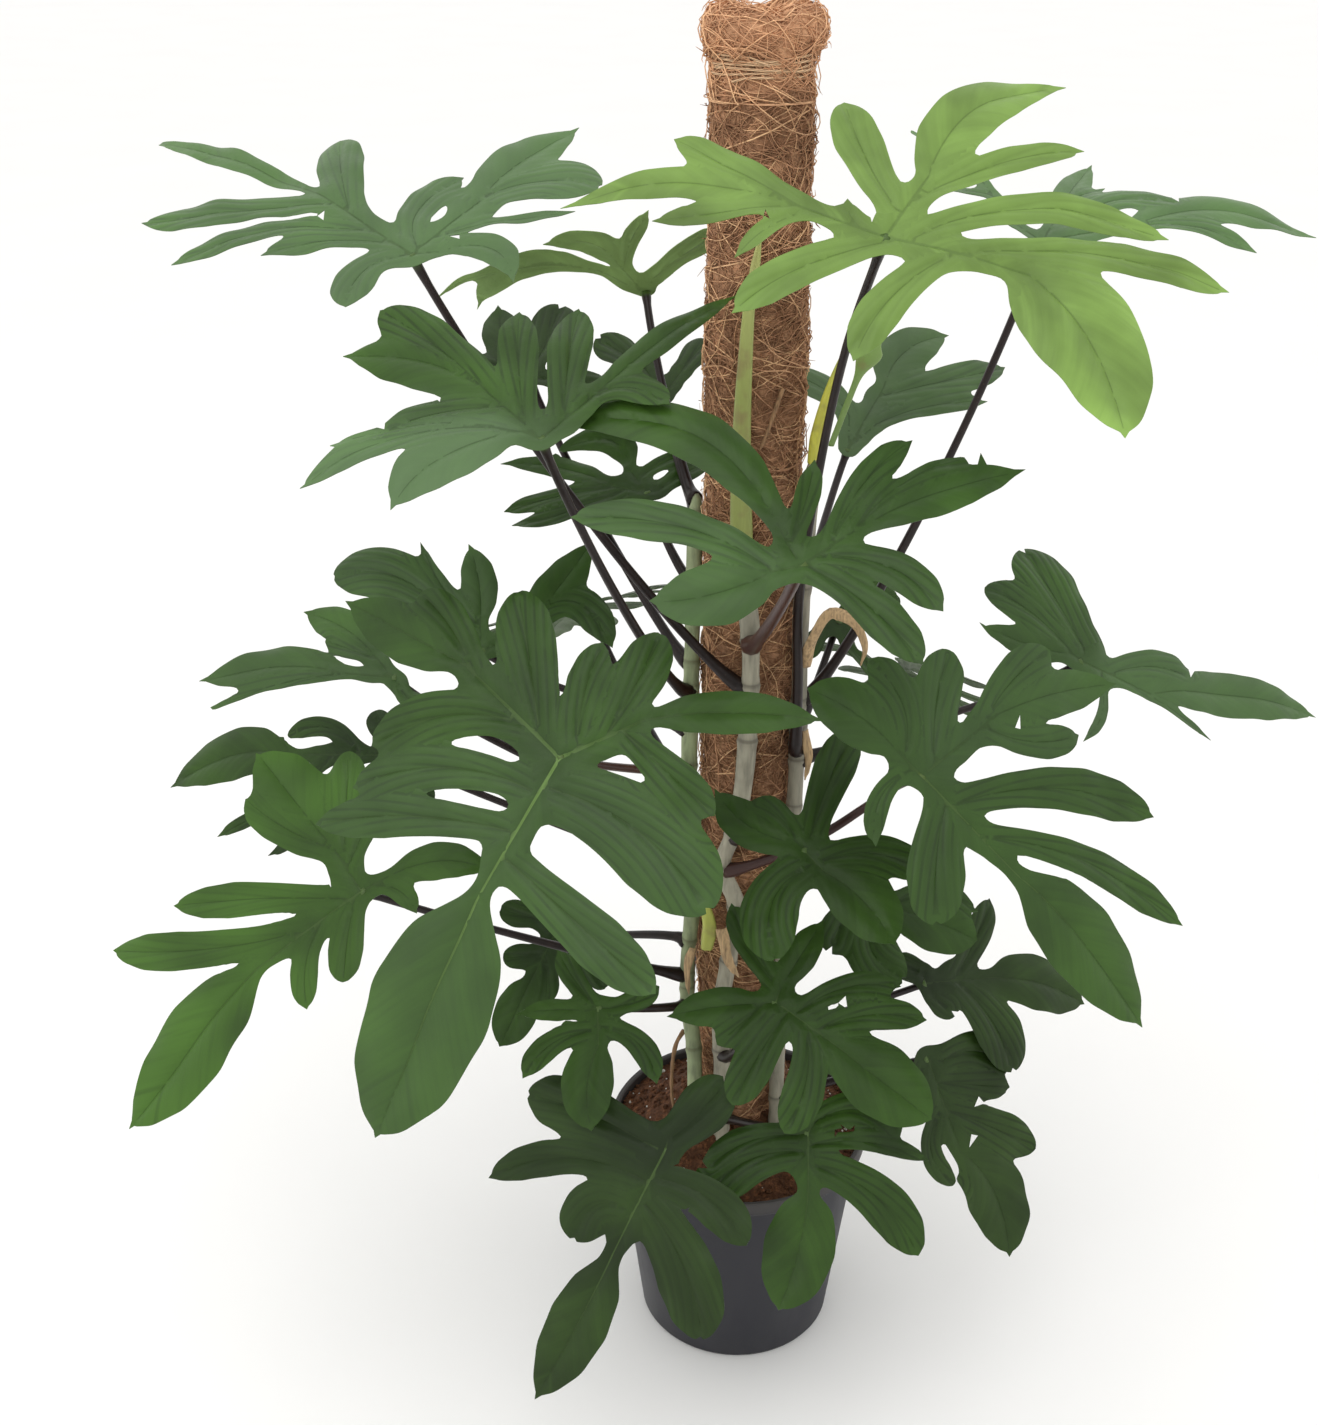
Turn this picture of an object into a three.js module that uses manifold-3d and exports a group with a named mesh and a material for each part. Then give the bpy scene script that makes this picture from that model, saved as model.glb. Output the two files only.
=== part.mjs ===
// Potted philodendron pedatum climbing a coir pole.
// Millimetres, +Z up. The origin is the middle of the pot's underside.
// The front of the plant faces -Y, and its right side is +X.
import * as THREE from 'three';
import { mergeVertices } from 'three/addons/utils/BufferGeometryUtils.js';
import Module from 'manifold-3d';

const wasm = await Module();
wasm.setup();
const { CrossSection } = wasm;

// Driving dimensions
const GAP = 0.3;
const POT_HEIGHT = 213;
const POT_TOP_RADIUS = 120;
const POT_BASE_RADIUS = 90;
const POT_WALL = 2;
const POT_LIP = 5;
const POT_LIP_HEIGHT = 14;
const POT_FLOOR = 3;
const DRAIN_HOLES = 8;
const DRAIN_RADIUS = 6;
const DRAIN_CIRCLE = 66;

const SOIL_EDGE_HEIGHT = 209;
const SOIL_SHOULDER = [88, 221];
const SOIL_SLOPE = [62, 239];
const SOIL_CROWN_HEIGHT = 248;

const POLE_TOP = 1195;
const STAKE_RADIUS = 16;
const STAKE_TOP = 1150;
const COIR_BOTTOM = 40;
const COIR_RADIUS_LOW = 39;
const COIR_RADIUS_HIGH = 37;
const COIR_TAPER_FROM = 600;
const COIR_TAPER_TO = 1000;
const COIR_NECK_HEIGHT = 1162;
const COIR_NECK_RADIUS = 36;
const COIR_NECK_BOTTOM = 1150;
const COIR_NECK_TOP = 1170;
const COIR_HEAD_RADIUS = 42;
const COIR_HEAD_BOTTOM = 1178;
const COIR_HEAD_TOP = 1185;
const COIR_RIM_RADIUS = 34;
const COIR_FOLD_RADIUS = 14;
const COIR_FOLD_DEPTH = 8;

const TWINE_RADIUS = 1.2;
const TWINE_TURNS = 5;
const TWINE_PITCH = 2.8;

const BLADE_THICKNESS = 1.6;
const PETIOLE_FOOT_RADIUS = 4.6;
const PETIOLE_TIP_RADIUS = 3.2;
const JUNCTION_RADIUS = 8;
const ROOT_DEPTH = 3;
const OUTLINE_STEP = 0.4;
const SAG_REACH = 200;
const SAG = 18;

// Materials: colour, roughness
const FINISHES = {
  slate_plastic: [0x3d3d44, 0.55],
  peat: [0x4a3326, 0.95],
  coir: [0x9c6a3f, 0.95],
  stake: [0xb08a5c, 0.8],
  twine: [0xb98c5a, 0.85],
  grey_stem: [0x9a978a, 0.7],
  green_stem: [0x8fa04c, 0.55],
  dry_sheath: [0xb79a72, 0.85],
  root: [0x8a6a4a, 0.85],
  young_leaf: [0x6f9d4c, 0.45],
  leaf: [0x3f6a38, 0.42],
  old_leaf: [0x2f4d31, 0.42],
};

// Vines: the line each one climbs, from the soil up, and its radius
const VINES = {
  front: {
    radius: 8,
    route: [
      [-16, -50, 150], [-17, -50, 240], [-18, -49, 320], [-20, -48, 373], [-14, -47.5, 423], [-8, -47.5, 480],
      [-21, -48, 520], [-12, -47.5, 552], [-5, -47.5, 593], [-1, -47.5, 720], [-6, -47.5, 775],
    ],
  },
  right: {
    radius: 7,
    route: [
      [30, -40, 150], [32, -38, 240], [34, -34, 462], [40, -25, 566], [41, -24, 663], [40, -25, 753],
      [43, -28, 820], [46, -32, 880],
    ],
  },
  left: {
    radius: 7,
    route: [
      [-42, -44, 150], [-42, -44, 250], [-43, -37, 322], [-49, -28, 370], [-49, -22, 409], [-45, -26, 472],
      [-47, -20, 519], [-49, -16, 588], [-48, -10, 658], [-46, 8, 760], [-44, 16, 830],
    ],
  },
};

// Shoots, dry sheaths and aerial roots: the line each one follows and its widest radius. A flat one is thin
// across the way it faces.
const TRIM = [
  { name: 'shoot_front', finish: 'green_stem', radius: 8.5,
    route: [[-8, -48.5, 778], [-11, -49, 848], [-12, -49.5, 904], [-10, -49, 957], [-7, -48, 1002],
      [-3, -47, 1030], [1, -47, 1055]] },
  { name: 'shoot_right', finish: 'green_stem', radius: 7.5,
    route: [[46.5, -33, 884], [49, -42, 912], [54, -52, 940], [63, -66, 975]] },
  { name: 'shoot_left', finish: 'green_stem', radius: 6,
    route: [[-47, -45, 504], [-38, -47, 485], [-31, -48, 460], [-33, -48, 440]] },
  { name: 'rolled_leaf', finish: 'young_leaf', radius: 8, thin: 0.3, face: [0.3, -1, 0.6],
    route: [[84, -82, 976], [74, -68, 956], [64, -54, 920], [56, -45, 890]] },
  { name: 'dry_sheath_1', finish: 'dry_sheath', radius: 5, thin: 0.25, face: [0, -1, 0.3],
    route: [[45, -38, 700], [52, -50, 735], [66, -60, 758], [80, -62, 748], [87, -60, 716]] },
  { name: 'dry_sheath_2', finish: 'dry_sheath', radius: 3.5, thin: 0.3, face: [0, -1, 0],
    route: [[46, -39, 642], [49, -40, 620], [47, -39, 598]] },
  { name: 'dry_sheath_3', finish: 'dry_sheath', radius: 3.5, thin: 0.3, face: [0, -1, 0],
    route: [[-44, -43, 432], [-50, -40, 412], [-48, -40, 385]] },
  { name: 'dry_sheath_4', finish: 'dry_sheath', radius: 5, thin: 0.3, face: [0, -1, 0],
    route: [[-20, -62, 462], [-17, -64, 436], [-5, -62, 418]] },
  { name: 'aerial_root_1', finish: 'root', radius: 1.6,
    route: [[17, -38, 928], [11, -40.5, 905], [5, -41.5, 886]] },
  { name: 'aerial_root_2', finish: 'root', radius: 2,
    route: [[-58, -30, 330], [-63, -31, 282], [-61, -34, 250]] },
];

// One rib of a blade: the rib runs to [bearing, reach], and its tip lobe and side lobes are
// [bearing, reach, width]. Bearings are in degrees clockwise from the midrib, seen from above, and reaches
// are in mm from the junction.
const rib = (to, tip, left = [], right = []) => ({ to, tip, left, right });

// Leaves, from the top down, then three at the back. at: where the petiole meets the blade. heading: the way
// the midrib points, 0 to the front and 90 to the right. fall: degrees below level. roll: degrees about the
// midrib. vine, node: the vine and the height at which the petiole starts. via: points the petiole passes.
// The ribs are the midrib, then the two back ribs clockwise.
const LEAVES = [
  {
    finish: 'young_leaf', at: [70, -200, 1080], heading: 85, fall: 10, roll: 40, vine: 'right', node: 625,
    via: [[38, -42, 690], [36, -46, 763], [47, -66, 885], [57, -112, 982]],
    ribs: [
      rib([2, 70], [30, 195, 80], [[-17, 190, 32], [-8, 230, 30]], [[140, 110, 28], [94, 90, 28]]),
      rib([-168, 60], [177, 205, 24], [[161, 95, 12], [175, 145, 16]], [[-141, 35, 12], [-161, 150, 28]]),
      rib([-69, 60], [-58, 195, 42], [[-111, 110, 34]], [[-42, 160, 20]]),
    ],
  },
  {
    finish: 'leaf', at: [-260, 0, 1025], heading: -130, fall: -15, roll: -25, vine: 'front', node: 690,
    ribs: [
      rib([4, 115], [0, 340, 22], [[-34, 115, 22], [-32, 195, 24], [-20, 245, 32]], [[23, 175, 40]]),
      rib([88, 75], [85, 195, 46], [[68, 90, 32]], [[119, 125, 10], [109, 155, 52]]),
      rib([133, 20], [161, 85, 30], [], [[-88, 65, 34]]),
    ],
  },
  {
    finish: 'leaf', at: [230, 90, 1015], heading: 100, fall: -5, roll: 20, vine: 'right', node: 665,
    ribs: [
      rib([-5, 75], [2, 230, 46], [[-18, 135, 32]], [[10, 170, 20]]),
      rib([-112, 40], [-99, 255, 12], [[-118, 120, 12]]),
      rib([-53, 35], [-54, 145, 28], [], [[-43, 105, 14]]),
    ],
  },
  {
    finish: 'young_leaf', at: [-85, 110, 970], heading: -75, fall: -25, roll: 50, vine: 'left', node: 828,
    ribs: [
      rib([-26, 35], [-7, 95, 32], [[-62, 95, 16]]),
      rib([-2, 45], [37, 140, 30], [], [[30, 170, 8]]),
      rib([-81, 20], [-99, 100, 24]),
    ],
  },
  {
    finish: 'leaf', at: [-155, -180, 940], heading: -90, fall: 5, roll: -30, vine: 'left', node: 670,
    ribs: [
      rib([33, 15], [-24, 110, 50], [[-5, 165, 26], [7, 145, 10]]),
      rib([53, 60], [38, 180, 52], [[15, 110, 28], [52, 190, 40]], [[83, 130, 30]]),
      rib([137, 45], [135, 200, 24], [[102, 130, 32]], [[164, 90, 28]]),
    ],
  },
  {
    finish: 'old_leaf', at: [-185, 140, 890], heading: -135, fall: -20, roll: -25, vine: 'left', node: 690,
    ribs: [
      rib([0, 35], [22, 90, 34], [[-25, 65, 24]]),
      rib([61, 35], [58, 80, 40]),
      rib([141, 25], [143, 60, 28]),
    ],
  },
  {
    finish: 'old_leaf', at: [-70, 120, 880], heading: 150, fall: -25, roll: 20, vine: 'left', node: 815,
    ribs: [
      rib([0, 35], [1, 75, 26]),
      rib([-136, 10], [-132, 50, 30]),
      rib([-56, 35], [-67, 80, 36]),
    ],
  },
  {
    finish: 'leaf', at: [20, -250, 875], heading: -75, fall: 10, roll: -40, vine: 'front', node: 730,
    ribs: [
      rib([4, 20], [3, 100, 46], [], [[33, 155, 32]]),
      rib([79, 20], [51, 210, 42], [], [[116, 80, 18]]),
      rib([161, 45], [170, 175, 34], [[146, 125, 22]], [[-122, 100, 30], [-145, 95, 28], [161, 155, 8]]),
    ],
  },
  {
    finish: 'old_leaf', at: [85, 100, 840], heading: 145, fall: -25, roll: 30, vine: 'right', node: 765,
    ribs: [
      rib([-5, 80], [3, 175, 44], [], [[20, 195, 30]]),
      rib([10, 40], [28, 150, 20]),
      rib([-27, 35], [-63, 85, 32]),
    ],
  },
  {
    finish: 'leaf', at: [-85, 50, 820], heading: -100, fall: 0, roll: -25, vine: 'left', node: 760,
    ribs: [
      rib([11, 30], [13, 130, 26], [[-24, 110, 20], [-12, 115, 22]]),
      rib([54, 30], [27, 95, 32], [], [[123, 60, 18]]),
      rib([169, 10], [137, 60, 22]),
    ],
  },
  {
    finish: 'leaf', at: [-145, -230, 720], heading: -45, fall: 50, roll: -25, vine: 'left', node: 600,
    ribs: [
      rib([4, 110], [1, 300, 94], [[-72, 145, 76], [-49, 175, 40]], [[57, 155, 34], [50, 190, 34]]),
      rib([107, 100], [99, 210, 44], [[69, 140, 40]], [[137, 125, 46], [112, 165, 34]]),
      rib([-140, 65], [-125, 185, 32], [[172, 85, 30], [-168, 110, 38]], [[-97, 115, 30]]),
    ],
  },
  {
    finish: 'leaf', at: [115, -220, 700], heading: 70, fall: 40, roll: 40, vine: 'front', node: 520,
    via: [[22, -76, 546], [62, -98, 583], [88, -107, 609], [106, -150, 652]],
    ribs: [
      rib([1, 95], [2, 250, 64], [[-36, 190, 38], [-17, 235, 36]], [[42, 100, 48]]),
      rib([-178, 30], [175, 100, 48], [[85, 60, 18]], [[-155, 90, 30]]),
      rib([-80, 80], [-68, 180, 38], [[-117, 95, 42], [-85, 145, 38]], [[-58, 130, 26]]),
    ],
  },
  {
    finish: 'leaf', at: [80, 60, 700], heading: 125, fall: -10, roll: 30, vine: 'right', node: 640,
    ribs: [
      rib([0, 30], [2, 60, 34], [[-24, 70, 26]]),
      rib([112, 25], [95, 70, 14]),
      rib([178, 20], [164, 50, 20]),
    ],
  },
  {
    finish: 'leaf', at: [-225, 30, 685], heading: -120, fall: -25, roll: -35, vine: 'left', node: 635,
    ribs: [
      rib([8, 40], [-8, 145, 52]),
      rib([48, 25], [44, 100, 32], [[23, 115, 10]]),
      rib([117, 35], [92, 140, 38], [], [[137, 110, 34]]),
    ],
  },
  {
    finish: 'leaf', at: [-295, -10, 680], heading: -100, fall: 0, roll: -30, vine: 'left', node: 545,
    ribs: [
      rib([1, 40], [-4, 165, 44]),
      rib([45, 30], [34, 110, 38], [[27, 70, 20]]),
      rib([-137, 10], [-152, 50, 20]),
    ],
  },
  {
    finish: 'leaf', at: [285, 30, 675], heading: 95, fall: 15, roll: 35, vine: 'right', node: 610,
    ribs: [
      rib([14, 65], [-3, 235, 46], [[-6, 100, 34]], [[90, 75, 10], [21, 125, 8]]),
      rib([-147, 10], [-168, 90, 28], [], [[-145, 100, 38]]),
      rib([-81, 15], [-114, 110, 58]),
    ],
  },
  {
    finish: 'leaf', at: [40, -150, 595], heading: 60, fall: 25, roll: 35, vine: 'front', node: 552,
    ribs: [
      rib([10, 20], [9, 95, 52], [[-29, 95, 32]], [[70, 85, 46]]),
      rib([-168, 10], [178, 85, 36], [[-169, 55, 22]]),
      rib([-110, 15], [-107, 110, 34]),
    ],
  },
  {
    finish: 'leaf', at: [-310, 40, 580], heading: -110, fall: 10, roll: -45, vine: 'left', node: 500,
    ribs: [
      rib([1, 105], [-5, 245, 52], [[-40, 140, 18], [-23, 185, 16]], [[10, 115, 20]]),
      rib([53, 10], [55, 45, 24]),
      rib([-143, 15], [-138, 65, 22]),
    ],
  },
  {
    finish: 'leaf', at: [-315, -120, 540], heading: -75, fall: 35, roll: -35, vine: 'left', node: 395,
    ribs: [
      rib([3, 110], [-5, 280, 72], [[-46, 70, 32], [-28, 100, 26]], [[35, 180, 30], [27, 245, 34]]),
      rib([88, 45], [83, 170, 66], [[71, 145, 32]], [[133, 90, 26], [113, 120, 40]]),
      rib([-171, 25], [-152, 110, 32], [], [[-126, 50, 18]]),
    ],
  },
  {
    finish: 'leaf', at: [95, -10, 460], heading: 95, fall: 15, roll: 45, vine: 'right', node: 400,
    ribs: [
      rib([-3, 40], [5, 120, 58], [[-8, 120, 20]], [[50, 75, 50]]),
      rib([114, 10], [108, 40, 36]),
      rib([-81, 10], [-115, 30, 24]),
    ],
  },
  {
    finish: 'leaf', at: [20, -160, 460], heading: 65, fall: 25, roll: 40, vine: 'front', node: 330,
    ribs: [
      rib([1, 60], [2, 150, 60], [[-43, 100, 22], [-29, 120, 26]], [[79, 85, 34], [51, 100, 34]]),
      rib([140, 10], [138, 85, 32], [[110, 55, 24]]),
      rib([-104, 15], [-94, 75, 28], [[-148, 85, 24]]),
    ],
  },
  {
    finish: 'leaf', at: [-170, 30, 400], heading: -45, fall: 50, roll: -20, vine: 'left', node: 430,
    ribs: [
      rib([0, 50], [0, 110, 42], [[-20, 60, 24]], [[38, 50, 24]]),
      rib([105, 20], [87, 55, 26]),
      rib([-80, 35], [-74, 65, 24]),
    ],
  },
  {
    finish: 'leaf', at: [-125, -140, 440], heading: -5, fall: 50, roll: 0, vine: 'left', node: 368,
    ribs: [
      rib([-5, 30], [0, 95, 44], [[-43, 75, 22]], [[45, 80, 22]]),
      rib([74, 10], [83, 65, 18], [], [[141, 55, 20]]),
      rib([-92, 10], [-111, 50, 20]),
    ],
  },
  {
    finish: 'old_leaf', at: [170, 10, 360], heading: 110, fall: 10, roll: 45, vine: 'right', node: 335,
    ribs: [
      rib([-2, 70], [8, 175, 56], [[-41, 115, 28]], [[45, 110, 52]]),
      rib([68, 15], [54, 30, 28]),
      rib([-102, 10], [-141, 30, 28]),
    ],
  },
  {
    finish: 'old_leaf', at: [-70, -200, 340], heading: -50, fall: 50, roll: -30, vine: 'front', node: 285,
    ribs: [
      rib([-2, 95], [-1, 230, 52], [[-73, 95, 36], [-41, 145, 54]], [[51, 150, 30], [18, 100, 44]]),
      rib([84, 20], [81, 120, 48]),
      rib([167, 10], [-168, 70, 44]),
    ],
  },
  {
    finish: 'leaf', at: [50, -170, 335], heading: -5, fall: 50, roll: -5, vine: 'front', node: 262,
    ribs: [
      rib([-2, 50], [7, 140, 60], [[-81, 100, 16], [-46, 130, 40]], [[55, 105, 44]]),
      rib([77, 10], [69, 85, 28]),
      rib([-150, 10], [-95, 75, 34]),
    ],
  },
  {
    finish: 'old_leaf', at: [170, -30, 305], heading: 35, fall: 55, roll: 10, vine: 'right', node: 268,
    ribs: [
      rib([-1, 90], [-6, 195, 62], [[-52, 85, 26], [-33, 135, 38]], [[7, 115, 22]]),
      rib([70, 5], [44, 40, 26]),
      rib([-60, 15], [-67, 80, 40]),
    ],
  },
  {
    finish: 'leaf', at: [-140, 190, 660], heading: -155, fall: 30, roll: 0, vine: 'left', node: 570,
    ribs: [
      rib([0, 95], [0, 190, 56], [[-50, 110, 34], [-26, 160, 38]], [[50, 110, 34], [26, 160, 38]]),
      rib([120, 60], [108, 135, 38], [], [[150, 105, 32]]),
      rib([-120, 60], [-108, 135, 38], [[-150, 105, 32]]),
    ],
  },
  {
    finish: 'leaf', at: [150, 200, 590], heading: 150, fall: 35, roll: 0, vine: 'right', node: 500,
    ribs: [
      rib([0, 90], [0, 180, 54], [[-48, 105, 34], [-26, 150, 36]], [[48, 105, 34], [26, 150, 36]]),
      rib([122, 55], [110, 125, 36], [], [[152, 100, 30]]),
      rib([-122, 55], [-110, 125, 36], [[-152, 100, 30]]),
    ],
  },
  {
    finish: 'old_leaf', at: [-20, 210, 400], heading: 175, fall: 40, roll: 0, vine: 'left', node: 380,
    ribs: [
      rib([0, 80], [0, 165, 50], [[-48, 100, 32], [-26, 140, 34]], [[48, 100, 32], [26, 140, 34]]),
      rib([122, 50], [110, 115, 36], [], [[152, 90, 28]]),
      rib([-122, 50], [-110, 115, 36], [[-152, 90, 28]]),
    ],
  },
];

const radians = THREE.MathUtils.degToRad;
const vector = (p) => new THREE.Vector3(...p);

// Solids
function toSolid(geometry) {
  const bare = geometry.clone();
  bare.deleteAttribute('normal');
  bare.deleteAttribute('uv');
  const merged = mergeVertices(bare, 1e-3);
  const mesh = new wasm.Mesh({
    numProp: 3,
    vertProperties: new Float32Array(merged.attributes.position.array),
    triVerts: new Uint32Array(merged.index.array),
  });
  mesh.merge();
  return new wasm.Manifold(mesh);
}

function toGeometry(solid) {
  const mesh = solid.getMesh();
  const geometry = new THREE.BufferGeometry();
  geometry.setAttribute('position', new THREE.BufferAttribute(mesh.vertProperties, 3));
  geometry.setIndex(new THREE.BufferAttribute(mesh.triVerts, 1));
  return geometry;
}

// A bar along a smooth line with a radius that changes on the way, thinner across the way it faces if flat
function bar(path, radiusAt, sides, steps, { face, thin = 1 } = {}) {
  const frames = path.computeFrenetFrames(steps);
  const positions = [];
  for (let i = 0; i <= steps; i += 1) {
    const centre = path.getPointAt(i / steps);
    const along = frames.tangents[i];
    const normal = face
      ? vector(face).addScaledVector(along, -along.dot(vector(face))).normalize()
      : frames.normals[i];
    const side = new THREE.Vector3().crossVectors(along, normal);
    const reach = radiusAt(i / steps);
    for (let j = 0; j < sides; j += 1) {
      const turn = (2 * Math.PI * j) / sides;
      const point = centre.clone().addScaledVector(normal, reach * thin * Math.cos(turn));
      positions.push(...point.addScaledVector(side, reach * Math.sin(turn)).toArray());
    }
  }
  const triangles = [];
  for (let i = 0; i < steps; i += 1) {
    for (let j = 0; j < sides; j += 1) {
      const [a, b] = [i * sides + j, i * sides + ((j + 1) % sides)];
      triangles.push(a, b, b + sides, a, b + sides, a + sides);
    }
  }
  const last = steps * sides;
  for (let j = 1; j < sides - 1; j += 1) triangles.push(0, j + 1, j, last, last + j, last + j + 1);
  const geometry = new THREE.BufferGeometry();
  geometry.setAttribute('position', new THREE.Float32BufferAttribute(positions, 3));
  return geometry.setIndex(triangles);
}

const smooth = (route) => new THREE.CatmullRomCurve3(route.map(vector), false, 'centripetal');

function lathe(profile, segments) {
  const turned = new THREE.LatheGeometry(profile.map((p) => new THREE.Vector2(...p)), segments);
  return turned.rotateX(Math.PI / 2);
}

const group = new THREE.Group();

function add(name, geometry, finish) {
  const [color, roughness] = FINISHES[finish];
  const mesh = new THREE.Mesh(geometry, new THREE.MeshStandardMaterial({ color, roughness, metalness: 0 }));
  mesh.name = name;
  group.add(mesh);
}

// Pot: a thin tapered shell with a rolled lip and drain holes in its floor
function potWallRadius(height) {
  return POT_BASE_RADIUS + ((POT_TOP_RADIUS - POT_LIP - POT_BASE_RADIUS) * height) / POT_HEIGHT;
}

function pot() {
  const lipBottom = POT_HEIGHT - POT_LIP_HEIGHT;
  const shell = toSolid(lathe([
    [0, 0], [POT_BASE_RADIUS - 2, 0], [POT_BASE_RADIUS, 2], [potWallRadius(lipBottom), lipBottom],
    [POT_TOP_RADIUS, lipBottom], [POT_TOP_RADIUS, POT_HEIGHT],
    [potWallRadius(POT_HEIGHT) - POT_WALL, POT_HEIGHT],
    [potWallRadius(POT_FLOOR) - POT_WALL, POT_FLOOR], [0, POT_FLOOR],
  ], 40));
  const drains = [];
  for (let i = 0; i < DRAIN_HOLES; i += 1) {
    const angle = (i * 2 * Math.PI) / DRAIN_HOLES;
    const drill = new THREE.CylinderGeometry(DRAIN_RADIUS, DRAIN_RADIUS, POT_FLOOR * 4, 10);
    drill.rotateX(Math.PI / 2).translate(DRAIN_CIRCLE * Math.cos(angle), DRAIN_CIRCLE * Math.sin(angle), 0);
    drains.push(toSolid(drill));
  }
  add('pot', toGeometry(drains.reduce((left, drill) => left.subtract(drill), shell)), 'slate_plastic');
}

// Soil: fills the pot around the pole, and each vine keeps its own socket in it
function soil() {
  const inner = (height) => potWallRadius(height) - POT_WALL - GAP;
  const core = COIR_RADIUS_LOW + GAP;
  const fill = toSolid(lathe([
    [STAKE_RADIUS + GAP, POT_FLOOR + GAP], [inner(POT_FLOOR + GAP), POT_FLOOR + GAP],
    [inner(SOIL_EDGE_HEIGHT), SOIL_EDGE_HEIGHT], SOIL_SHOULDER, SOIL_SLOPE,
    [core, SOIL_CROWN_HEIGHT], [core, COIR_BOTTOM - GAP], [STAKE_RADIUS + GAP, COIR_BOTTOM - GAP],
    [STAKE_RADIUS + GAP, POT_FLOOR + GAP],
  ], 40));
  const sockets = Object.values(VINES).map(
    ({ radius, route }) => toSolid(bar(smooth(route), () => radius + GAP, 8, 40)),
  );
  add('soil', toGeometry(sockets.reduce((left, socket) => left.subtract(socket), fill)), 'peat');
}

// Pole: a stake inside a coir wrap that folds in over its top
function stake() {
  const foot = POT_FLOOR + 2 * GAP;
  const outline = [[0, foot], [STAKE_RADIUS, foot], [STAKE_RADIUS, STAKE_TOP], [0, STAKE_TOP]];
  add('pole_stake', lathe(outline, 16), 'stake');
}

function coirWrap() {
  const bore = STAKE_RADIUS + GAP;
  add('coir_wrap', lathe([
    [bore, COIR_BOTTOM], [COIR_RADIUS_LOW, COIR_BOTTOM], [COIR_RADIUS_LOW, COIR_TAPER_FROM],
    [COIR_RADIUS_HIGH, COIR_TAPER_TO], [COIR_NECK_RADIUS, COIR_NECK_BOTTOM],
    [COIR_NECK_RADIUS, COIR_NECK_TOP], [COIR_HEAD_RADIUS, COIR_HEAD_BOTTOM],
    [COIR_HEAD_RADIUS, COIR_HEAD_TOP], [COIR_RIM_RADIUS, POLE_TOP], [COIR_FOLD_RADIUS, POLE_TOP],
    [0, POLE_TOP - COIR_FOLD_DEPTH], [0, STAKE_TOP + GAP], [bore, STAKE_TOP + GAP], [bore, COIR_BOTTOM],
  ], 28), 'coir');
}

class Helix extends THREE.Curve {
  getPoint(t, target = new THREE.Vector3()) {
    const angle = t * TWINE_TURNS * 2 * Math.PI;
    const radius = COIR_NECK_RADIUS + 2 * TWINE_RADIUS;
    const height = COIR_NECK_HEIGHT - TWINE_TURNS * TWINE_PITCH * (0.5 - t);
    return target.set(radius * Math.cos(angle), radius * Math.sin(angle), height);
  }
}

function twine() {
  add('pole_twine', bar(new Helix(), () => TWINE_RADIUS, 5, TWINE_TURNS * 14), 'twine');
}

// Vines, and the shoots, sheaths and roots on them
const vineCurves = {};
for (const [name, { route }] of Object.entries(VINES)) vineCurves[name] = smooth(route);

function vines() {
  for (const [name, { radius }] of Object.entries(VINES)) {
    add(`vine_${name}`, bar(vineCurves[name], () => radius, 8, 40), 'grey_stem');
  }
}

function trim({ name, finish, radius, route, thin, face }) {
  const taper = (t) => radius * Math.max(0.25, Math.min(1, 0.7 + t, 1.6 - 1.5 * t));
  add(name, bar(smooth(route), taper, thin ? 6 : 7, 2 * route.length, { thin, face }), finish);
}

function vineAt(name, height) {
  const points = vineCurves[name].getSpacedPoints(400);
  return points.reduce((best, p) => (Math.abs(p.z - height) < Math.abs(best.z - height) ? p : best));
}

// Blade: ribs and lobes are laid out flat first, as [forward, right] in mm from the junction
const polar = ([bearing, reach]) => [reach * Math.cos(radians(bearing)), reach * Math.sin(radians(bearing))];
const plus = (a, b, k = 1) => [a[0] + k * b[0], a[1] + k * b[1]];
const minus = (a, b) => [a[0] - b[0], a[1] - b[1]];
const unit = (a) => {
  const size = Math.hypot(...a);
  return [a[0] / size, a[1] / size];
};
const rightOf = ([u, v]) => [-v, u];
const middle = (a, b) => [(a[0] + b[0]) / 2, (a[1] + b[1]) / 2];

// Rows across a lobe: how far out, and how wide
const STRAP_ROWS = [[0.36, 0.96], [0.82, 0.8]];
const OVAL_ROWS = [[0.13, 0.2], [0.4, 0.9], [0.78, 0.8]];

// The outline of a strip: up its left side, round its tip and down its right side. Its root reaches back into
// the rib it leaves, so that the two join.
function stripOutline([left, right], rows, tip) {
  const outward = unit(rightOf(minus(left, right)));
  const root = plus(middle(left, right), outward, -ROOT_DEPTH);
  const end = tip ? [tip] : [];
  return [root, left, ...rows.map(([p]) => p), ...end, ...rows.map(([, p]) => p).reverse(), right];
}

function lobeOutline(base, [bearing, reach, width], profile) {
  const [left, right] = base;
  const start = middle(left, right);
  const tip = polar([bearing, reach]);
  const length = Math.hypot(...minus(tip, start));
  const outward = unit(rightOf(minus(left, right)));
  const along = unit(minus(tip, start));
  const bend = plus(start, unit(plus(outward, along)), 0.4 * length);
  const rows = profile.map(([t, share]) => {
    const centre = plus(plus(plus([0, 0], start, (1 - t) ** 2), bend, 2 * t * (1 - t)), tip, t * t);
    const heading = unit(plus(plus([0, 0], minus(bend, start), 1 - t), minus(tip, bend), t));
    const half = (width * share) / 2;
    return [plus(centre, rightOf(heading), -half), plus(centre, rightOf(heading), half)];
  });
  return stripOutline(base, rows, tip);
}

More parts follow.
